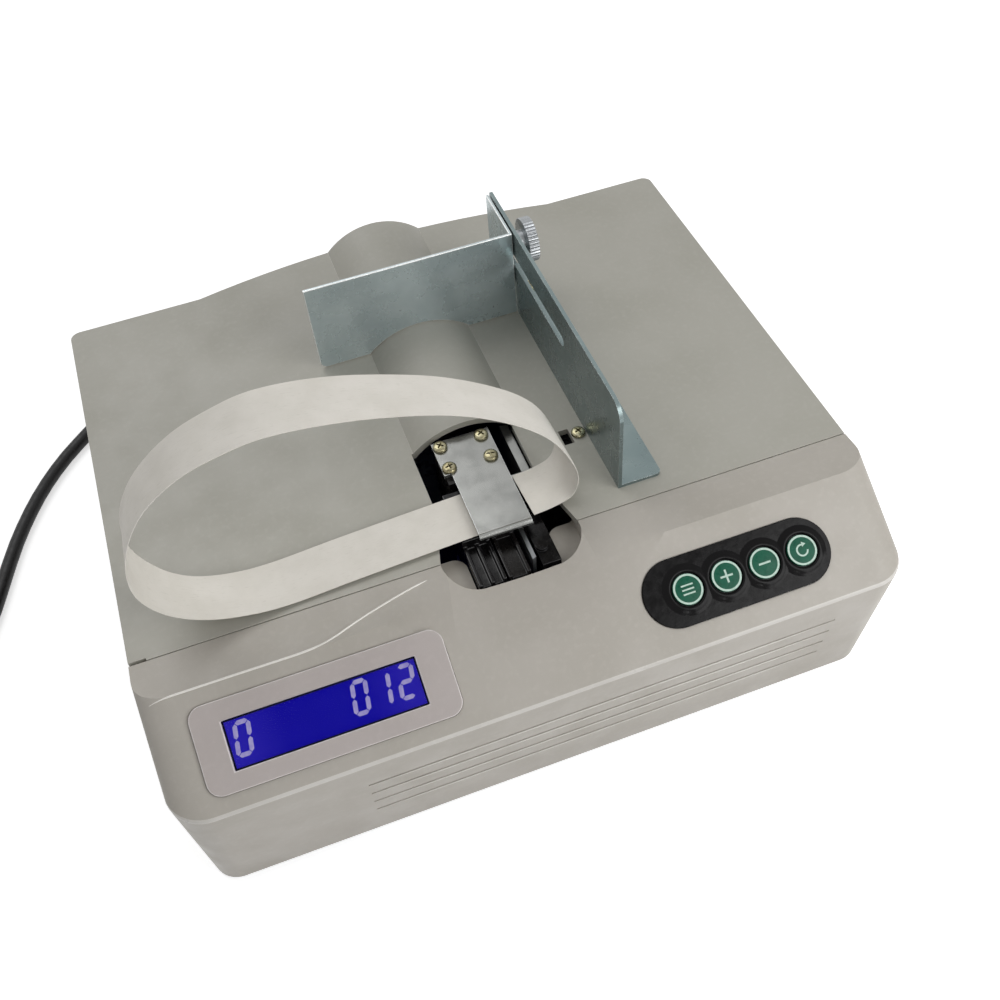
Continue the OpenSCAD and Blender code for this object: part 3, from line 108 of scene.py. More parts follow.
class Finish:
    """A Principled material with object coordinates, to which layers of detail are added.

    FINISHES holds the material under its name.
    """

    def __init__(self, name, rgb, roughness, metallic=0.0, coat=0.0, specular=0.5):
        self.mat = bpy.data.materials.new(name)
        self.mat.use_nodes = True
        self.tree = self.mat.node_tree
        self.shader = self.tree.nodes["Principled BSDF"]
        self.coords = self.tree.nodes.new("ShaderNodeTexCoord").outputs["Object"]
        self.rgb = linear(rgb)
        self.color = None
        self.normal = None
        self.shader.inputs["Base Color"].default_value = self.rgb
        self.shader.inputs["Roughness"].default_value = roughness
        self.shader.inputs["Metallic"].default_value = metallic
        self.shader.inputs["Coat Weight"].default_value = coat
        self.shader.inputs["Specular IOR Level"].default_value = specular
        FINISHES[name] = self.mat

    def add(self, kind, values=(), **settings):
        """Adds a node with these settings; each value is a number or a socket to link."""
        node = self.tree.nodes.new(kind)
        for key, value in settings.items():
            setattr(node, key, value)
        for key, value in dict(values).items():
            if isinstance(value, bpy.types.NodeSocket):
                self.tree.links.new(value, node.inputs[key])
            else:
                node.inputs[key].default_value = value
        return node

    def noise(self, size, detail=3.0, stretch=None, offset=0.0):
        """Noise whose features are about size metres; stretch lengthens them along each axis."""
        mapping = self.add("ShaderNodeMapping", {"Vector": self.coords, "Location": (offset,) * 3})
        mapping.inputs["Scale"].default_value = [1 / s for s in (stretch or (1, 1, 1))]
        node = self.add("ShaderNodeTexNoise", {
            "Vector": mapping.outputs["Vector"], "Scale": 1 / size, "Detail": detail,
            "Roughness": 0.55})
        return node.outputs["Fac"]

    def ramp(self, value, low, high, start=0.0, end=1.0):
        """Value spread from low..high to start..end."""
        node = self.add("ShaderNodeMapRange", {
            "Value": value, "From Min": low, "From Max": high, "To Min": start, "To Max": end})
        return node.outputs["Result"]

    def tint(self, fac, rgb):
        """Blends the colour so far towards rgb where fac is 1."""
        mix = self.add("ShaderNodeMix", data_type="RGBA")
        if self.color is None:
            mix.inputs["A"].default_value = self.rgb
        else:
            self.tree.links.new(self.color, mix.inputs["A"])
        mix.inputs["B"].default_value = linear(rgb)
        self.tree.links.new(fac, mix.inputs["Factor"])
        self.color = mix.outputs["Result"]
        self.tree.links.new(self.color, self.shader.inputs["Base Color"])

    def roughness(self, value, start, end, low=0.35, high=0.65):
        """Roughness that runs from start to end with the value."""
        result = self.ramp(value, low, high, start, end)
        self.tree.links.new(result, self.shader.inputs["Roughness"])

    def bump(self, height, distance, strength=1.0):
        """Adds bumps of that distance in metres to those so far."""
        node = self.add("ShaderNodeBump", {
            "Height": height, "Distance": distance, "Strength": strength})
        if self.normal is not None:
            self.tree.links.new(self.normal, node.inputs["Normal"])
        self.normal = node.outputs["Normal"]
        self.tree.links.new(self.normal, self.shader.inputs["Normal"])

    def glow(self, strength):
        """Makes the finish give its own light, and little of what falls on it."""
        self.tree.links.new(self.color, self.shader.inputs["Emission Color"])
        self.shader.inputs["Emission Strength"].default_value = strength
        dim = self.add("ShaderNodeHueSaturation", {"Color": self.color, "Value": 0.2})
        self.tree.links.new(dim.outputs["Color"], self.shader.inputs["Base Color"])
        self.bump(self.noise(0.0004, 2), 0.00001, 0.2)


def moulded(name, rgb, dark, light, roughness):
    """Fine-textured moulding: mottled colour, a light grain, smoother worn spots."""
    f = Finish(name, rgb, roughness, specular=0.45)
    f.tint(f.ramp(f.noise(0.045, 4), 0.4, 0.7), dark)
    f.tint(f.ramp(f.noise(0.0022, 5, offset=3.1), 0.5, 0.8, 0, 0.45), light)
    f.roughness(f.noise(0.014, 5, offset=7.7), roughness - 0.07, roughness + 0.08)
    f.bump(f.noise(0.0006, 2, offset=1.3), 0.00004, 0.45)


def sheet_metal(name, rgb, dark, light, roughness, stretch=None, metallic=0.85):
    """Turned or drawn metal: a cloudy tone and fine drawn lines."""
    f = Finish(name, rgb, roughness, metallic=metallic)
    f.tint(f.ramp(f.noise(0.016, 5), 0.42, 0.72), dark)
    f.tint(f.ramp(f.noise(0.0009, 3, stretch, 2.2), 0.5, 0.78, 0, 0.5), light)
    f.roughness(f.noise(0.004, 4, stretch, 5.1), roughness - 0.08, roughness + 0.12)
    f.bump(f.noise(0.0005, 2, stretch, 9.4), 0.00001, 0.5)


def zinc(name, rgb, dark, light, metallic=0.6, roughness=0.26):
    """Passivated zinc sheet: soft clouds, faint spangle, small dull stains, slight waviness."""
    f = Finish(name, rgb, roughness, metallic=metallic)
    f.tint(f.ramp(f.noise(0.034, 4), 0.36, 0.68), dark)
    f.tint(f.ramp(f.noise(0.012, 3, offset=2.2), 0.42, 0.8, 0, 0.4), light)
    f.tint(f.ramp(f.noise(0.0016, 4, offset=6.3), 0.58, 0.85, 0, 0.25), dark)
    f.roughness(f.noise(0.008, 4, offset=5.1), roughness - 0.05, roughness + 0.09)
    f.bump(f.noise(0.0009, 3, offset=9.4), 0.00001, 0.5)
    f.bump(f.noise(0.022, 2, offset=4.4), 0.00025, 0.35)


def plain(name, rgb, dark, roughness, metallic=0.0, size=0.004, bump=0.00002, coat=0.0,
          specular=0.5):
    """Simple finish: mottled colour and a light surface texture."""
    f = Finish(name, rgb, roughness, metallic=metallic, coat=coat, specular=specular)
    f.tint(f.ramp(f.noise(size, 4), 0.42, 0.7), dark)
    f.roughness(f.noise(size * 0.6, 3, offset=4.2), roughness - 0.06, roughness + 0.1)
    f.bump(f.noise(size * 0.15, 2, offset=8.1), bump, 0.5)


def paper_finish():
    """Off-white tape: pulp flecks, soft fibres and a faint cross grain."""
    f = Finish("strap_paper", (226, 222, 214), 0.8, specular=0.3)
    f.tint(f.ramp(f.noise(0.012, 5), 0.4, 0.7), (218, 214, 205))
    f.tint(f.ramp(f.noise(0.0005, 4, (5, 1, 5), 2.0), 0.58, 0.75, 0, 0.5), (204, 200, 190))
    f.bump(f.noise(0.0004, 4, (4, 1, 4), 6.0), 0.00003, 0.5)
    f.bump(f.noise(0.008, 2, offset=1.0), 0.0003, 0.4)


def overlay_finish():
    """Black film: glossy, with fine scuffs and a cloudy haze."""
    f = Finish("overlay_black", (9, 8, 9), 0.18, specular=0.11)
    f.tint(f.ramp(f.noise(0.0035, 5), 0.55, 0.8, 0, 0.5), (17, 16, 18))
    f.tint(f.ramp(f.noise(0.0004, 3, (1, 9, 1), 3.0), 0.7, 0.82, 0, 0.25), (52, 54, 58))
    f.roughness(f.noise(0.0025, 5, offset=5.0), 0.12, 0.28)
    f.bump(f.noise(0.003, 3, offset=2.0), 0.00008, 0.5)


def key_finish():
    """Green cap: a little mottled, with paler worn specks."""
    f = Finish("key_green", (8, 84, 62), 0.3, specular=0.15)
    f.tint(f.ramp(f.noise(0.003, 4), 0.45, 0.7), (5, 72, 52))
    f.tint(f.ramp(f.noise(0.0006, 3, offset=2.0), 0.6, 0.8, 0, 0.35), (40, 122, 96))
    f.roughness(f.noise(0.0016, 4, offset=4.0), 0.22, 0.42)
    f.bump(f.noise(0.0012, 2, offset=6.0), 0.00002, 0.4)


def mark_finish():
    """Pale print on the keys, unevenly thick."""
    f = Finish("key_mark", (190, 212, 200), 0.4, specular=0.3)
    f.tint(f.ramp(f.noise(0.0009, 4), 0.45, 0.7), (168, 196, 180))
    f.bump(f.noise(0.0005, 2), 0.00001, 0.3)


def lcd_finish():
    """Lit blue field, deeper in the middle than at its ends, with a fine unevenness."""
    f = Finish("lcd_blue", (16, 10, 152), 0.5, specular=0.0)
    split = f.add("ShaderNodeSeparateXYZ", {"Vector": f.coords})
    shift = f.add("ShaderNodeMath", {0: split.outputs["X"], 1: LCD_X * MM},
                  operation="SUBTRACT")
    away = f.add("ShaderNodeMath", {0: shift.outputs[0]}, operation="ABSOLUTE")
    f.tint(f.ramp(away.outputs[0], 0.014, 0.034, 0, 0.8), (50, 40, 176))
    f.tint(f.ramp(f.noise(0.006, 3), 0.45, 0.75, 0, 0.3), (26, 18, 164))
    f.glow(0.8)


def digit_finish():
    """Lit pale segments of the display."""
    f = Finish("lcd_digit", (168, 162, 206), 0.5, specular=0.0)
    f.tint(f.ramp(f.noise(0.002, 3), 0.4, 0.7), (142, 134, 200))
    f.glow(0.75)


def glass_finish():
    """Clear window: a weak reflection over what lies behind it, with fine smears."""
    f = Finish("lcd_glass", (60, 62, 96), 0.08, specular=0.3)
    f.roughness(f.noise(0.004, 4), 0.04, 0.24)
    f.shader.inputs["Alpha"].default_value = 0.03


moulded("housing_plastic", (176, 171, 163), (168, 163, 154), (185, 181, 173), 0.48)
moulded("lid_plastic", (169, 167, 158), (161, 159, 149), (178, 176, 168), 0.46)
moulded("bezel_plastic", (180, 172, 169), (173, 165, 162), (188, 181, 178), 0.4)
zinc("zinc_sheet", (140, 150, 151), (122, 132, 134), (162, 172, 173))
sheet_metal("zinc_yellow", (158, 152, 122), (118, 108, 78), (206, 204, 184), 0.24)
sheet_metal("steel", (158, 161, 163), (136, 139, 142), (184, 187, 189), 0.3, (1, 14, 1))
plain("motor_steel", (60, 60, 64), (48, 48, 52), 0.45, 0.3)
plain("core_steel", (70, 68, 66), (52, 50, 48), 0.5, 0.4, 0.002)
plain("dark_alloy", (24, 22, 21), (14, 13, 12), 0.26, 0.2, specular=0.25)
sheet_metal("brass", (190, 158, 86), (168, 134, 66), (214, 188, 124), 0.3)
plain("black_plastic", (12, 11, 12), (6, 6, 7), 0.2, specular=0.2)
plain("rubber_black", (30, 30, 31), (22, 22, 23), 0.8, size=0.003, bump=0.00006)
plain("roller_rubber", (38, 38, 39), (28, 28, 29), 0.78, size=0.002, bump=0.00006)
plain("cord_rubber", (13, 13, 14), (8, 8, 9), 0.4, specular=0.3)
plain("gear_plastic", (214, 208, 192), (200, 192, 172), 0.45)
plain("board_green", (30, 98, 60), (20, 78, 46), 0.35, size=0.0015, coat=0.3)
paper_finish()
overlay_finish()
key_finish()
lcd_finish()
glass_finish()

# Finishes of single pieces and of edges and lines with painted highlights, which no slot of the
# record names
mark_finish()
digit_finish()
plain("lcd_frame", (9, 8, 40), (6, 6, 26), 0.4, specular=0.1)
# The same zinc sheet in two copies: darker on the fence, painted shade, and lighter on the stop
# plate, painted light
zinc("fence_zinc_shaded", (124, 138, 138), (112, 126, 127), (142, 155, 155), 0.72)
zinc("stop_zinc_lit", (190, 203, 205), (172, 186, 189), (208, 218, 219))
zinc("tongue_zinc", (146, 147, 144), (136, 137, 135), (160, 161, 158), 0.8, 0.18)
# Lighter, glossier copies of the finishes for rounded edges: painted highlights along them
moulded("housing_edge_highlight", (206, 203, 197), (198, 194, 188), (216, 213, 208), 0.3)
moulded("bezel_edge_highlight", (214, 208, 206), (206, 200, 198), (222, 217, 215), 0.3)
zinc("zinc_edge_highlight", (216, 222, 222), (200, 207, 208), (232, 236, 236), 0.5, 0.2)
zinc("tongue_edge_highlight", (244, 246, 245), (232, 235, 234), (250, 251, 251), 0.45, 0.2)
plain("black_edge_highlight", (22, 21, 23), (12, 11, 13), 0.14, specular=0.4)
# Near-white finish of the brow line: a painted highlight along the crease
moulded("crease_highlight", (234, 231, 225), (226, 223, 216), (240, 238, 233), 0.28)
plain("sensor_black", (7, 7, 8), (4, 4, 4), 0.8, specular=0.1)

OWN_FINISH = {"note_sensor": "sensor_black", "rear_frame": "tongue_zinc"}

for node_name, obj in NODES.items():
    for material_slot in obj.material_slots:
        material_slot.material = FINISHES[OWN_FINISH.get(node_name, SLOT_OF[node_name])]


# ---- pieces ----------------------------------------------------------------------------------

# Corners of a CAD mesh closer than MERGE metres are one. A node with a wide rounding takes
# MERGE_WIDE, as doubled corners would crumple it. Edges shorter than SLIVER are dropped.
MERGE, MERGE_WIDE, SLIVER = 0.000003, 0.000015, 0.000002
# Edges that turn more than this many degrees are rounded
SHARP = 28


def piece(name, data, body, slot, finish=None):
    """A new object of that mesh or curve, riding on a body, with the finish of its slot."""
    obj = bpy.data.objects.new(name, data)
    bpy.context.scene.collection.objects.link(obj)
    data.materials.clear()
    data.materials.append(FINISHES[finish or slot])
    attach(obj, body)
    return obj


@contextmanager
def edited(mesh):
    """The mesh opened for editing, written back at the end."""
    bm = bmesh.new()
    bm.from_mesh(mesh)
    yield bm
    bm.to_mesh(mesh)
    bm.free()


def soften(mesh, angle):
    """Shades the mesh smooth below that angle in degrees."""
    mesh.shade_smooth()
    mesh.set_sharp_from_angle(angle=math.radians(angle))


def mesh_of(name, points, faces, smooth=30):
    """Mesh from points in millimetres, shaded smooth below that angle."""
    mesh = bpy.data.meshes.new(name)
    mesh.from_pydata([Vector(p) * MM for p in points], [], faces)
    mesh.validate()
    with edited(mesh) as bm:
        bmesh.ops.recalc_face_normals(bm, faces=bm.faces)
    soften(mesh, smooth)
    return mesh


def merged(name, meshes, smooth, merge=0.0):
    """One mesh of several, whose corners closer than merge metres become one."""
    bm = bmesh.new()
    for mesh in meshes:
        bm.from_mesh(mesh)
        bpy.data.meshes.remove(mesh)
    if merge:
        bmesh.ops.remove_doubles(bm, verts=bm.verts, dist=merge)
    whole = bpy.data.meshes.new(name)
    bm.to_mesh(whole)
    bm.free()
    soften(whole, smooth)
    return whole


def dress(node, width, body, segments=2, finish=None, highlight_finish=None, wide=None, highlit_faces=None):
    """Stands for a CAD node with the same shape, its edges rounded by width millimetres.

    The finish for highlights, where given, is lighter and glossier than the node's own and paints
    a highlight on the rounded edges and on the faces whose middle passes the face test. wide is a
    test of corners and the width to which the edges between them are rounded.
    Both tests take a point in millimetres.
    """
    wide_test, wide_width = wide or (None, 0)
    mesh = NODES[node].data.copy()
    mesh.name = node + "_edges"
    with edited(mesh) as bm:
        bmesh.ops.remove_doubles(bm, verts=bm.verts, dist=MERGE_WIDE if wide else MERGE)
        bmesh.ops.dissolve_degenerate(bm, edges=bm.edges, dist=SLIVER)
        bmesh.ops.dissolve_limit(
            bm, angle_limit=math.radians(0.3), verts=bm.verts, edges=bm.edges)
        bmesh.ops.recalc_face_normals(bm, faces=bm.faces)
        if wide:
            weight = bm.edges.layers.float.new("bevel_weight_edge")
            for edge in bm.edges:
                edge[weight] = float(all(wide_test(v.co / MM) for v in edge.verts))
        # Faces that pass the test take the lighter edge finish too, a painted highlight
        if highlit_faces:
            for face in bm.faces:
                face.material_index = int(highlit_faces(face.calc_center_median() / MM))
    if mesh.attributes.get("sharp_edge"):
        mesh.attributes.remove(mesh.attributes["sharp_edge"])
    mesh.shade_smooth()
    obj = piece(node + "_dressed", mesh, body, SLOT_OF[node], finish)
    # A second slot holds the lighter edge finish, which paints highlights on the rounded edges
    if highlight_finish:
        mesh.materials.append(FINISHES[highlight_finish])
    for limit, size, steps in (("WEIGHT", wide_width, 5), ("ANGLE", width, segments)):
        if size:
            bevel = obj.modifiers.new("edges", "BEVEL")
            bevel.width = size * MM
            bevel.segments = steps
            bevel.limit_method = limit
            bevel.angle_limit = math.radians(SHARP)
            bevel.use_clamp_overlap = limit == "ANGLE"
            bevel.material = 1 if highlight_finish else -1
    flat = obj.modifiers.new("flat_faces", "WEIGHTED_NORMAL")
    flat.mode = "FACE_AREA"
    flat.weight = 50
    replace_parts(obj, node)


def lathe(name, profile, place, steps=96):
    """Turned surface: profile as radius and height in millimetres, placed by a matrix."""
    points, faces = [], []
    for k in range(steps):
        a = 2 * math.pi * k / steps
        points += [place @ Vector((r * math.cos(a), r * math.sin(a), h)) for r, h in profile]
    n = len(profile)
    for k in range(steps):
        a, b = k * n, (k + 1) % steps * n
        faces += [(a + i, b + i, b + i + 1, a + i + 1) for i in range(n - 1)]
    mesh = mesh_of(name, points, faces)
    with edited(mesh) as bm:
        bmesh.ops.remove_doubles(bm, verts=bm.verts, dist=SLIVER)
        bmesh.ops.holes_fill(bm, edges=bm.edges)
        bmesh.ops.recalc_face_normals(bm, faces=bm.faces)
    return mesh


def prisms(name, outlines, z0, z1, place):
    """Upright prisms on flat outlines in millimetres, placed by a matrix."""
    points, faces = [], []
    for outline in outlines:
        low, n = len(points), len(outline)
        high = low + n
        points += [place @ Vector((x, y, z0)) for x, y in outline]
        points += [place @ Vector((x, y, z1)) for x, y in outline]
        faces += [tuple(low + i for i in reversed(range(n))), tuple(high + i for i in range(n))]
        for i in range(n):
            j = (i + 1) % n
            faces.append((low + i, low + j, high + j, high + i))
    return mesh_of(name, points, faces)


def rectangle(x0, x1, y0, y1):
    """Outline of a rectangle between these sides."""
    return [(x0, y0), (x1, y0), (x1, y1), (x0, y1)]


def arc_band(inner, outer, start, end, steps):
    """Flat band round the origin as quads, from one angle to the other in degrees."""
    quads = []
    for k in range(steps):
        corners = []
        for r, j in ((inner, k), (outer, k), (outer, k + 1), (inner, k + 1)):
            a = math.radians(start + (end - start) * j / steps)
            corners.append((r * math.cos(a), r * math.sin(a)))
        quads.append(corners)
    return quads


def spline(points, steps):
    """Smooth curve through points, in steps from each to the next."""
    out = []
    for i in range(len(points) - 1):
        a, b = points[max(i - 1, 0)], points[i]
        c, d = points[i + 1], points[min(i + 2, len(points) - 1)]
        for k in range(steps):
            t = k / steps
            out.append(0.5 * (2 * b + (c - a) * t + (2 * a - 5 * b + 4 * c - d) * t * t
                              + (3 * b - a - 3 * c + d) * t ** 3))
    return out + [points[-1]]


def tube(name, line, radius, resolution, slot, finish=None, tapers=False):
    """Round line through points in metres, riding on the base.

    Its radius is in millimetres. If it tapers, it thins out over its first and last points.
    """
    curve = bpy.data.curves.new(name, "CURVE")
    curve.dimensions = "3D"
    part = curve.splines.new("POLY")
    last = len(line) - 1
    part.points.add(last)
    for i, (point, p) in enumerate(zip(part.points, line)):
        point.co = (*p, 1)
        if tapers:
            point.radius = min(1, 0.15 + 0.2 * min(i, last - i))
    curve.bevel_depth = radius * MM
    curve.bevel_resolution = resolution
    curve.use_fill_caps = True
    return piece(name, curve, "base", slot, finish)


# ---- power cord ------------------------------------------------------------------------------

CORD_D = 6.5
CORD_ROUTE = [
    (-70, 133.5, 28), (-70, 142, 27.5), (-71, 152, 24.5), (-75, 163, 19), (-83, 173, 12.5),
    (-95, 179, 7), (-109, 179, 4), (-123, 173, 3.3), (-137, 161, 3.3), (-150, 148, 3.3),
    (-163, 135, 3.3), (-174, 121, 3.3), (-183, 106, 3.3), (-191, 89, 3.3), (-198, 70, 3.3),
    (-204, 53, 3.3), (-210, 40, 3.8), (-213.3, 30, 4.3), (-214, 20, 4.3)]
COIL_X, COIL_Y, COIL_Z, COIL_R = -260, 20, 4.3, 46
COIL_PITCH, COIL_TURNS, COIL_TAIL = 7.1, 5.25, 28
TURN_STEPS, TAIL_STEPS = 32, 4


def coil_point(t):
    """Middle line of the coil: in on the table, up a layer where it reverses, and out again."""
    half = COIL_TURNS / 2
    r = COIL_R - COIL_PITCH * (t if t < half else COIL_TURNS - t)
    s = min(max((t - half + 0.25) / 0.5, 0), 1)
    a = -2 * math.pi * t
    return Vector((COIL_X + r * math.cos(a), COIL_Y + r * math.sin(a),
                   COIL_Z + COIL_PITCH * s * s * (3 - 2 * s)))


def power_cord():
    """The flexible cord as one tube, with the place where it leaves and its length."""
    route = spline([Vector(p) for p in CORD_ROUTE], 2)
    turns = int(COIL_TURNS * TURN_STEPS)
    route += [coil_point(k / TURN_STEPS) for k in range(1, turns + 1)]
    end = route[-1]
    route += [end - Vector((COIL_TAIL * k / TAIL_STEPS, 0, 0)) for k in range(1, TAIL_STEPS + 1)]
    route = [p * MM for p in route]
    obj = tube("power_cord_flex", route, CORD_D / 2, 4, "cord_rubber")
    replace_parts(obj, "power_cord", "cord_coil")
    length = sum((b - a).length for a, b in zip(route, route[1:]))
    return obj, tuple(route[0]), length


def relief_profile():
    """Profile of the strain relief: flange, groove for the wall, tapering ribs, plain end."""
    profile = [(0, -8), (7.1, -8), (7.5, -7.6), (7.5, -3.3), (5, -3.3), (5, 0.3), (7.5, 0.3),
               (7.5, 1.7), (7.2, 2)]
    ribs, pitch = 7, 3.3
    for i in range(ribs):
        r, z = 5.6 - 1.3 * i / ribs, pitch * i
        profile += [(r, 2.4 + z), (r, 4.3 + z), (r - 0.75, 4.6 + z), (r - 0.75, 5.4 + z)]
    return profile + [(4.3, 25.5), (4.2, 27.6), (3.8, 28), (0, 28)]


flex, flex_exit, flex_length = power_cord()

gland_place = (Matrix.Translation((GLAND_X, REAR_WALL_Y, GLAND_Z))
               @ Matrix.Rotation(math.radians(-90), 4, "X"))
relief = lathe("cord_relief", relief_profile(), gland_place, 48)
gland = piece("cord_relief", relief, "base", "cord_rubber")
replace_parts(gland, "cord_gland")


# ---- paper strap -----------------------------------------------------------------------------

# The loop's middle line and its twist: distance from the tongue, height over the lid and yaw
# in degrees
LOOP = [
    (3, 0.9, 0), (-10, 1.1, 0), (-30, 1.3, -1), (-55, 1.4, -2.5), (-78, 1.2, -6),
    (-92, 3.4, -7), (-104.8, 8.8, -3.3), (-114.2, 17.9, 1.7), (-119.7, 30.4, 4.7),
    (-119.7, 43, 6.8), (-115.3, 55.9, 8.5), (-107.1, 66.9, 10), (-95, 75.1, 7),
    (-81.6, 79, 3), (-68, 80.4, 2), (-49.1, 77.3, 1), (-30, 71, 0), (-10, 61.5, 0),
    (8, 48.5, 0), (20, 36, 0), (27, 23, 0), (29.5, 12, 0), (27, 4, 0), (20, 1.4, 0),
    (12, 0.9, 0)]
STRAP_PLACE = Matrix.Translation((0.7, -47.5, LID_Z)) @ Matrix.Rotation(math.radians(3), 4, "Z")
STRAP_W, STRAP_T = 20, 0.22
# Height of the waves at the edges of the tape
WAVE = 0.4


def strap_ribbon():
    """Mesh of the tape: two faces a thickness apart, waving a little towards the edges."""
    line = spline([Vector(row) for row in LOOP], 8)
    across = 10
    points, faces = [], []
    n = len(line)
    for side in (1, -1):
        for i, (x, z, yaw) in enumerate(line):
            step = line[min(i + 1, n - 1)] - line[max(i - 1, 0)]
            ahead = Vector((step.x, step.y)).normalized()
            normal = Vector((-ahead.y, 0, ahead.x))
            ruling = Vector((math.sin(math.radians(yaw)), math.cos(math.radians(yaw)), 0))
            rise = min(1, max(0, (z - 3) / 20))
            for j in range(across + 1):
                v = j / across - 0.5
                wave = WAVE * rise * math.sin(i * 0.16 + 4 * v) * (2 * v) ** 2
                middle = Vector((x, 0, z)) + normal * (side * STRAP_T / 2 + wave)
                points.append(STRAP_PLACE @ (middle + ruling * v * STRAP_W))
    row = across + 1
    half = n * row
    for i in range(n - 1):
        for j in range(across):
            a = i * row + j
            b = half + a
            faces.append((a, a + 1, a + row + 1, a + row))
            faces.append((b, b + row, b + row + 1, b + 1))
        for j in (0, across):
            a = i * row + j
            faces.append((a, a + row, half + a + row, half + a))
    for i in (0, n - 1):
        for j in range(across):
            a = i * row + j
            faces.append((a, a + 1, half + a + 1, half + a))
    return mesh_of("strap_ribbon", points, faces, 50)


strap = piece("strap_ribbon", strap_ribbon(), "base", "strap_paper")
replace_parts(strap, "paper_strap")
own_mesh(strap)


# ---- nodes with rounded edges ----------------------------------------------------------------

# The faces of the tongue's nose have their middle in front of this; they take the near-white edge
# finish, a painted highlight
TONGUE_NOSE_Y = -59.5

# The lighter edge finishes paint highlights on the rounded edges; the wide rounding along the
# housing's nose paints the highlight line there
dress("housing", 0.8, "base", 3, highlight_finish="housing_edge_highlight",
      wide=(lambda p: abs(p.z - NOSE_Z) < 0.2 and p.y < NOSE_Y + 10, 0.9))
dress("top_lid", 0.6, "lid", 2, highlight_finish="housing_edge_highlight")
dress("display_bezel", 0.35, "base", 3, highlight_finish="bezel_edge_highlight")
dress("fence", 0.35, "lid", 3, finish="fence_zinc_shaded", highlight_finish="zinc_edge_highlight")
dress("stop_plate", 0.35, "stop", 3, finish="stop_zinc_lit", highlight_finish="tongue_edge_highlight")
dress("clamp_plate", 0.6, "base", 4, finish="tongue_zinc", highlight_finish="tongue_edge_highlight",
      highlit_faces=lambda p: p.y < TONGUE_NOSE_Y)
dress("thumb_screw", 0.12, "thumb", 1)
dress("press_block", 0.4, "press", 3, highlight_finish="black_edge_highlight")
dress("heater_block", 0.3, "heater", 3, highlight_finish="black_edge_highlight")
dress("strap_chute", 0.4, "base", 3, highlight_finish="black_edge_highlight")


# ---- fine lines of the housing ---------------------------------------------------------------

LINE_R = 0.42
GROOVE_Z, GROOVE_PITCH, GROOVE_X0, GROOVE_X1, GROOVES = 28.2, 9.4, -70, 106, 4
# From the middle of a groove down to the line under it, a thin bead in the lighter edge finish
# that paints the highlight under each groove
GROOVE_LIP = 1.05
# Plan of the line that leaves the brow and rises to the pocket
BROW_LINE = [
    (-129.3, -82), (-115, -82), (-100, -82), (-84, -82.1), (-76, -82), (-70.5, -81.4),
    (-65, -79.8), (-57, -76.6), (-49, -73.9), (-42, -71.8), (-36, -70.2), (-30, -69)]


def raised_line(name, points, way, sink, finish, steps):
    """Fine line moulded on the housing, found from points in millimetres outside of it.

    Each point of the smooth curve through them is cast along way onto the housing and sunk
    in by sink millimetres.
    """
    way = Vector(way)
    skin = bmesh.new()
    skin.from_mesh(NODES["housing"].data)
    tree = BVHTree.FromBMesh(skin)
    skin.free()
    line = [tree.ray_cast(p * MM, way)[0] + way * sink * MM
            for p in spline([Vector(p) for p in points], steps)]
    tube(name, line, LINE_R, 3, "housing_plastic", finish, tapers=True)


# The brow line is a thin bead in a near-white finish: a painted highlight along the crease
raised_line("brow_crease", [(x, y, 120) for x, y in BROW_LINE], (0, 0, -1), 0.12, "crease_highlight", 6)
# Under each groove a thin bead in the lighter edge finish: a painted highlight
for i in range(GROOVES):
    z = GROOVE_Z + i * GROOVE_PITCH - GROOVE_LIP
    points = [(GROOVE_X0 + (GROOVE_X1 - GROOVE_X0) * k / 8, -200, z) for k in range(9)]
    raised_line("groove_lip_%d" % (i + 1), points, (0, 1, 0), 0.14, "housing_edge_highlight", 4)

dress("switch_frame", 0.25, "base", 2)
dress("switch_rocker", 0.3, "rocker", 2)


# ---- pan head screws --------------------------------------------------------------------------

HEAD_R, HEAD_H, SHANK_R = 2.75, 1.8, 1.5
RECESS_L, RECESS_W, RECESS_DEPTH = 1.65, 0.36, 1.15


def solid_islands(node):
    """Lowest and highest corner, in millimetres, of each separate solid of a CAD node."""
    bm = bmesh.new()
    bm.from_mesh(NODES[node].data)
    bmesh.ops.remove_doubles(bm, verts=bm.verts, dist=MERGE)
    left, boxes = set(bm.verts), []
    while left:
        stack = [left.pop()]
        group = []
        while stack:
            vert = stack.pop()
            group.append(vert.co / MM)
            for edge in vert.link_edges:
                other = edge.other_vert(vert)
                if other in left:
                    left.remove(other)
                    stack.append(other)
        boxes.append((Vector([min(c[k] for c in group) for k in range(3)]),
                      Vector([max(c[k] for c in group) for k in range(3)])))
    bm.free()
    return sorted(boxes, key=lambda box: (round(box[0].x, 2), round(box[0].y, 2)))


def recess_mesh(place):
    """Tapering cross that cuts the recess of a head."""
    n, w = RECESS_L, RECESS_W
    plus = [(n, -w), (n, w), (w, w), (w, n), (-w, n), (-w, w), (-n, w), (-n, -w), (-w, -w),
            (-w, -n), (w, -n), (w, -w)]
    points = [place @ Vector((x * f, y * f, z))
              for f, z in ((0.5, HEAD_H - RECESS_DEPTH), (1.05, HEAD_H + 0.2)) for x, y in plus]
    count = len(plus)
    faces = [tuple(range(count)), tuple(range(count, 2 * count))]
    faces += [(k, (k + 1) % count, count + (k + 1) % count, count + k) for k in range(count)]
    return mesh_of("recess", points, faces)


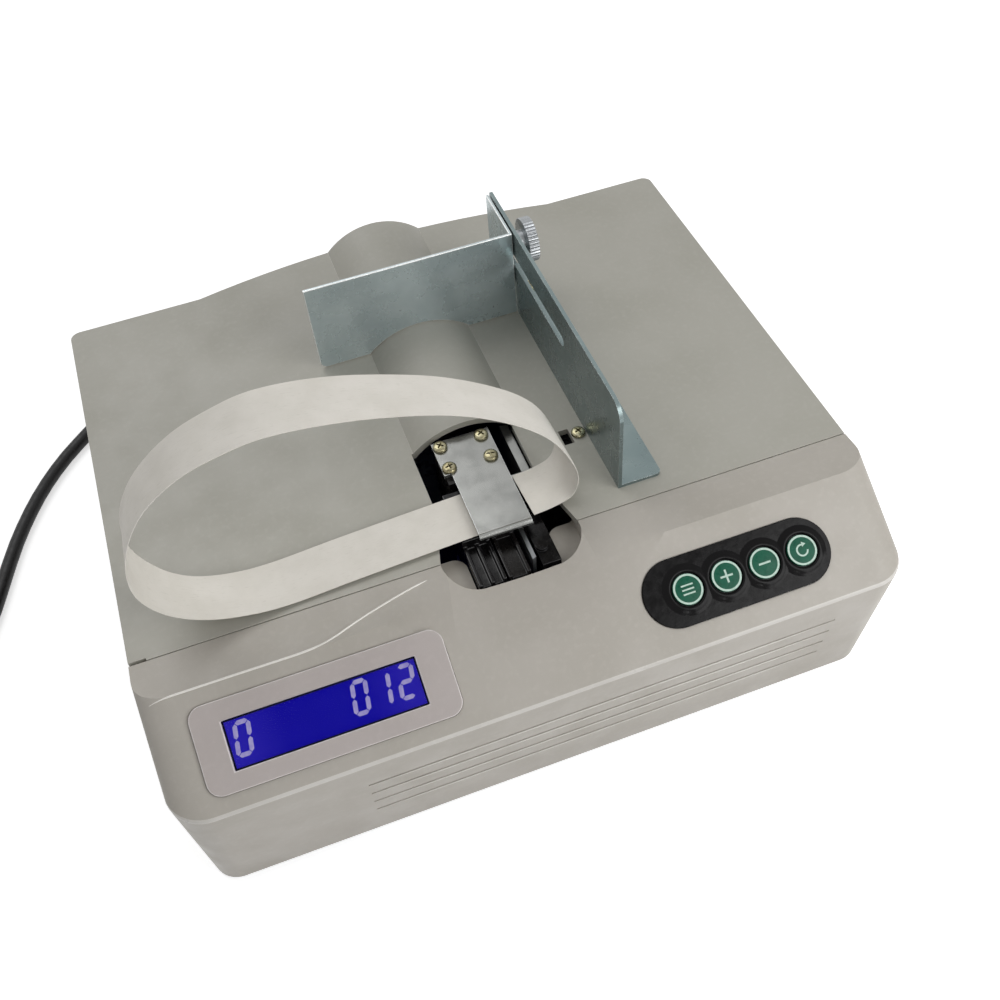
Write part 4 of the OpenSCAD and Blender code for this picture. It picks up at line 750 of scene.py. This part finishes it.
def pan_screw(low, high, turn):
    """Mesh of one screw: domed head with a cross recess, and its shank."""
    place = Matrix.Translation(((low.x + high.x) / 2, (low.y + high.y) / 2, high.z - HEAD_H))
    place = place @ Matrix.Rotation(math.radians(turn), 4, "Z")
    foot = low.z - high.z + HEAD_H
    profile = [(0, foot), (SHANK_R, foot), (SHANK_R, 0), (HEAD_R - 0.2, 0), (HEAD_R - 0.02, 0.2),
               (HEAD_R, 0.55), (HEAD_R - 0.08, 0.95), (HEAD_R - 0.32, 1.3), (HEAD_R - 0.8, 1.58),
               (HEAD_R - 1.5, 1.74), (0, HEAD_H)]
    head = bpy.data.objects.new("screw", lathe("screw", profile, place, 40))
    cutter = bpy.data.objects.new("recess", recess_mesh(place))
    for obj in (head, cutter):
        bpy.context.scene.collection.objects.link(obj)
    cut = head.modifiers.new("recess", "BOOLEAN")
    cut.operation = "DIFFERENCE"
    cut.object = cutter
    cut.solver = "EXACT"
    depsgraph = bpy.context.evaluated_depsgraph_get()
    mesh = bpy.data.meshes.new_from_object(head.evaluated_get(depsgraph))
    for obj in (head, cutter):
        old = obj.data
        bpy.data.objects.remove(obj)
        bpy.data.meshes.remove(old)
    return mesh


def screws(node, body, turns):
    """Stands for a node of screws, each turned its own way."""
    heads = [pan_screw(low, high, turn) for (low, high), turn in zip(solid_islands(node), turns)]
    mesh = merged(node + "_heads", heads, 32)
    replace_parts(piece(node + "_heads", mesh, body, SLOT_OF[node]), node)


screws("clamp_screws", "base", (12, 50, 78, 33))
screws("sensor_screw", "lid", (24,))
screws("fence_screws", "lid", (8, 61))


# ---- display ---------------------------------------------------------------------------------

# Height of the display's face on the panel
LCD_TOP = -2.6
DIGIT_H, DIGIT_W, STROKE, SLANT = 11.8, 5.9, 1.5, 0.14
SEGMENT_GAP = 0.16
SEGMENTS = {"0": "abcdef", "1": "bc", "2": "abged"}
# Each digit with its left end and its drop below the brow, on the panel
SHOWN = [("0", -105.3, 14.1), ("0", -65.9, 13.9), ("1", -58.3, 14.2), ("2", -50.1, 13.9)]
FIELD_X0, FIELD_X1, FIELD_Y0, FIELD_Y1 = -109.4, -42, -30.3, -11.8
FIELD_EDGE = 1.6


def digit(char, x, drop):
    """Outlines of the lit segments of a slanted seven-segment digit, from its upper left."""
    w, h, s, g = DIGIT_W, DIGIT_H, STROKE, SEGMENT_GAP
    half = h / 2

    def bar(x0, x1, y):
        return [(x0 + g, y), (x0 + g + s / 2, y + s / 2), (x1 - g - s / 2, y + s / 2),
                (x1 - g, y), (x1 - g - s / 2, y - s / 2), (x0 + g + s / 2, y - s / 2)]

    def post(y0, y1, x0):
        return [(x0, y0 + g), (x0 + s / 2, y0 + g + s / 2), (x0 + s / 2, y1 - g - s / 2),
                (x0, y1 - g), (x0 - s / 2, y1 - g - s / 2), (x0 - s / 2, y0 + g + s / 2)]

    left, side, top, low = s / 2, w - s / 2, -s / 2, -h + s / 2
    shapes = {"a": bar(left, side, top), "g": bar(left, side, -half), "d": bar(left, side, low),
              "f": post(-half, top, left), "b": post(-half, top, side),
              "e": post(low, -half, left), "c": post(low, -half, side)}
    return [[(x + px + SLANT * (py + h) - SLANT * h, -drop + py) for px, py in shapes[c]]
            for c in SEGMENTS[char]]


def border(x0, x1, y0, y1, width):
    """Four bars inside a rectangle's edge."""
    return [rectangle(x0, x1, y0, y0 + width), rectangle(x0, x1, y1 - width, y1),
            rectangle(x0, x0 + width, y0 + width, y1 - width),
            rectangle(x1 - width, x1, y0 + width, y1 - width)]


lit_segments = [outline for char, x, drop in SHOWN for outline in digit(char, x, drop)]
digits = prisms("lcd_digits", lit_segments, LCD_TOP + 0.04, LCD_TOP + 0.1, PANEL)
piece("lcd_digits", digits, "base", "lcd_blue", "lcd_digit")

field_edge = prisms("lcd_frame", border(FIELD_X0, FIELD_X1, FIELD_Y0, FIELD_Y1, FIELD_EDGE),
                    LCD_TOP + 0.02, LCD_TOP + 0.12, PANEL)
piece("lcd_frame", field_edge, "base", "lcd_blue", "lcd_frame")


# ---- keys ------------------------------------------------------------------------------------

KEYS = ("menu", "plus", "minus", "reset")
KEY_X, KEY_PITCH, KEY_DROP, KEY_R, KEY_TOP = 52.2, 14.5, 21.2, 5.5, 1.6
CAP_PROFILE = [(0, -3), (KEY_R, -3), (KEY_R, 1.2), (KEY_R - 0.08, 1.42), (KEY_R - 0.25, 1.55),
               (KEY_R - 0.6, 1.59), (0, KEY_TOP)]
DOME_PROFILE = [(5.86, -0.3), (5.86, 0.9), (6.0, 1.22), (6.3, 1.42), (6.7, 1.46), (7.2, 1.36),
                (7.8, 1.12), (8.4, 0.88), (9.0, 0.74), (9.3, 0.6)]
# Half the width of the bars of the plus and the minus
HALF_BAR = 0.35


def key_place(i):
    """Placing matrix of the key with that number, counted from the left."""
    return PANEL @ Matrix.Translation((KEY_X + i * KEY_PITCH, -KEY_DROP, 0))


def key_symbol(kind):
    """Outlines of the symbol on a key, about its centre."""
    if kind == "menu":
        return [rectangle(-2.2, 2.2, y, y + 0.55) for y in (-1.8, -0.3, 1.2)]
    if kind == "plus":
        return [rectangle(-2.3, 2.3, -HALF_BAR, HALF_BAR),
                rectangle(-HALF_BAR, HALF_BAR, HALF_BAR, 2.3),
                rectangle(-HALF_BAR, HALF_BAR, -2.3, -HALF_BAR)]
    if kind == "minus":
        return [rectangle(-2.2, 2.2, -HALF_BAR, HALF_BAR)]
    return arc_band(1.65, 2.25, 70, 350, 28) + [[(0.4, 1.1), (1.9, 1.9), (0.5, 2.9)]]


for i, kind in enumerate(KEYS):
    name, body = "key_" + kind, kind + "_key"
    key = piece(name + "_cap", lathe(name + "_cap", CAP_PROFILE, key_place(i)), body, "key_green")
    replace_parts(key, "key_" + kind)
    outlines = key_symbol(kind) + arc_band(4.6, 5.3, 0, 360, 64)
    mark = prisms(name + "_mark", outlines, 1.5, KEY_TOP + 0.06, key_place(i))
    piece(name + "_mark", mark, body, "key_green", "key_mark")


def overlay_dome(i):
    """Raised ring of film round a key, cut half way to the keys beside it."""
    mesh = lathe("ring", DOME_PROFILE, key_place(i))
    with edited(mesh) as bm:
        for side, meets in ((1, i < len(KEYS) - 1), (-1, i > 0)):
            if meets:
                bmesh.ops.bisect_plane(
                    bm, geom=bm.verts[:] + bm.edges[:] + bm.faces[:], dist=1e-7,
                    plane_co=Vector(((KEY_X + (i + side / 2) * KEY_PITCH) * MM, 0, 0)),
                    plane_no=(side, 0, 0), clear_outer=True)
    return mesh


dress("keypad_overlay", 0.25, "base", 2)
domes = merged("overlay_domes", [overlay_dome(i) for i in range(len(KEYS))], 40, 0.00001)
piece("overlay_domes", domes, "base", "overlay_black")


# ---- floor, light and world ------------------------------------------------------------------

def split_by_ray(tree, socket, lighting, seen):
    """Gives a socket one value for the rays that light things and another where it is seen.

    It is seen by camera, glossy and transmission rays.
    """
    path = tree.nodes.new("ShaderNodeLightPath")
    total = path.outputs["Is Camera Ray"]
    for name in ("Is Glossy Ray", "Is Transmission Ray"):
        node = tree.nodes.new("ShaderNodeMath")
        node.operation = "MAXIMUM"
        tree.links.new(total, node.inputs[0])
        tree.links.new(path.outputs[name], node.inputs[1])
        total = node.outputs[0]
    reach = tree.nodes.new("ShaderNodeMapRange")
    tree.links.new(total, reach.inputs["Value"])
    reach.inputs["To Min"].default_value = lighting
    reach.inputs["To Max"].default_value = seen
    tree.links.new(reach.outputs["Result"], socket)


world = bpy.data.worlds.new("studio")
bpy.context.scene.world = world
world.use_nodes = True
sky = world.node_tree.nodes["Background"]
sky.inputs["Color"].default_value = (1, 1, 1, 1)
split_by_ray(world.node_tree, sky.inputs["Strength"], 0.32, 1.0)

FLOOR_HALF = 3
floor_corners = [(x * FLOOR_HALF, y * FLOOR_HALF, 0)
                 for x, y in ((-1, -1), (1, -1), (1, 1), (-1, 1))]
floor_mesh = bpy.data.meshes.new("floor")
floor_mesh.from_pydata(floor_corners, [], [(0, 1, 2, 3)])
floor = bpy.data.objects.new("floor", floor_mesh)
bpy.context.scene.collection.objects.link(floor)
floor_finish = Finish("floor_white", (240, 240, 240), 0.9, specular=0.0)
floor_finish.tint(floor_finish.ramp(floor_finish.noise(0.4, 3), 0.4, 0.7), (237, 237, 238))
floor_finish.shader.inputs["Emission Color"].default_value = (1, 1, 1, 1)
split_by_ray(floor_finish.tree, floor_finish.shader.inputs["Emission Strength"], 0.0, 0.6)
floor_mesh.materials.append(floor_finish.mat)

LAMP_TARGET = Vector((0, 0, 0.05))


def softbox(name, place, size, power):
    """Square lamp of size metres and power watts, facing the machine."""
    lamp = bpy.data.lights.new(name, "AREA")
    lamp.shape = "SQUARE"
    lamp.size = size
    lamp.energy = power
    obj = bpy.data.objects.new(name, lamp)
    bpy.context.scene.collection.objects.link(obj)
    obj.location = place
    obj.rotation_mode = "QUATERNION"
    obj.rotation_quaternion = (LAMP_TARGET - Vector(place)).to_track_quat("-Z", "Y")


softbox("key_light", (0.38, -0.46, 0.42), 0.45, 2.5)
softbox("top_light", (-0.26, 0.6, 1.0), 0.8, 4.2)
softbox("front_light", (0.06, -0.95, 0.4), 0.12, 0.32)

bpy.context.scene.view_settings.view_transform = "Standard"
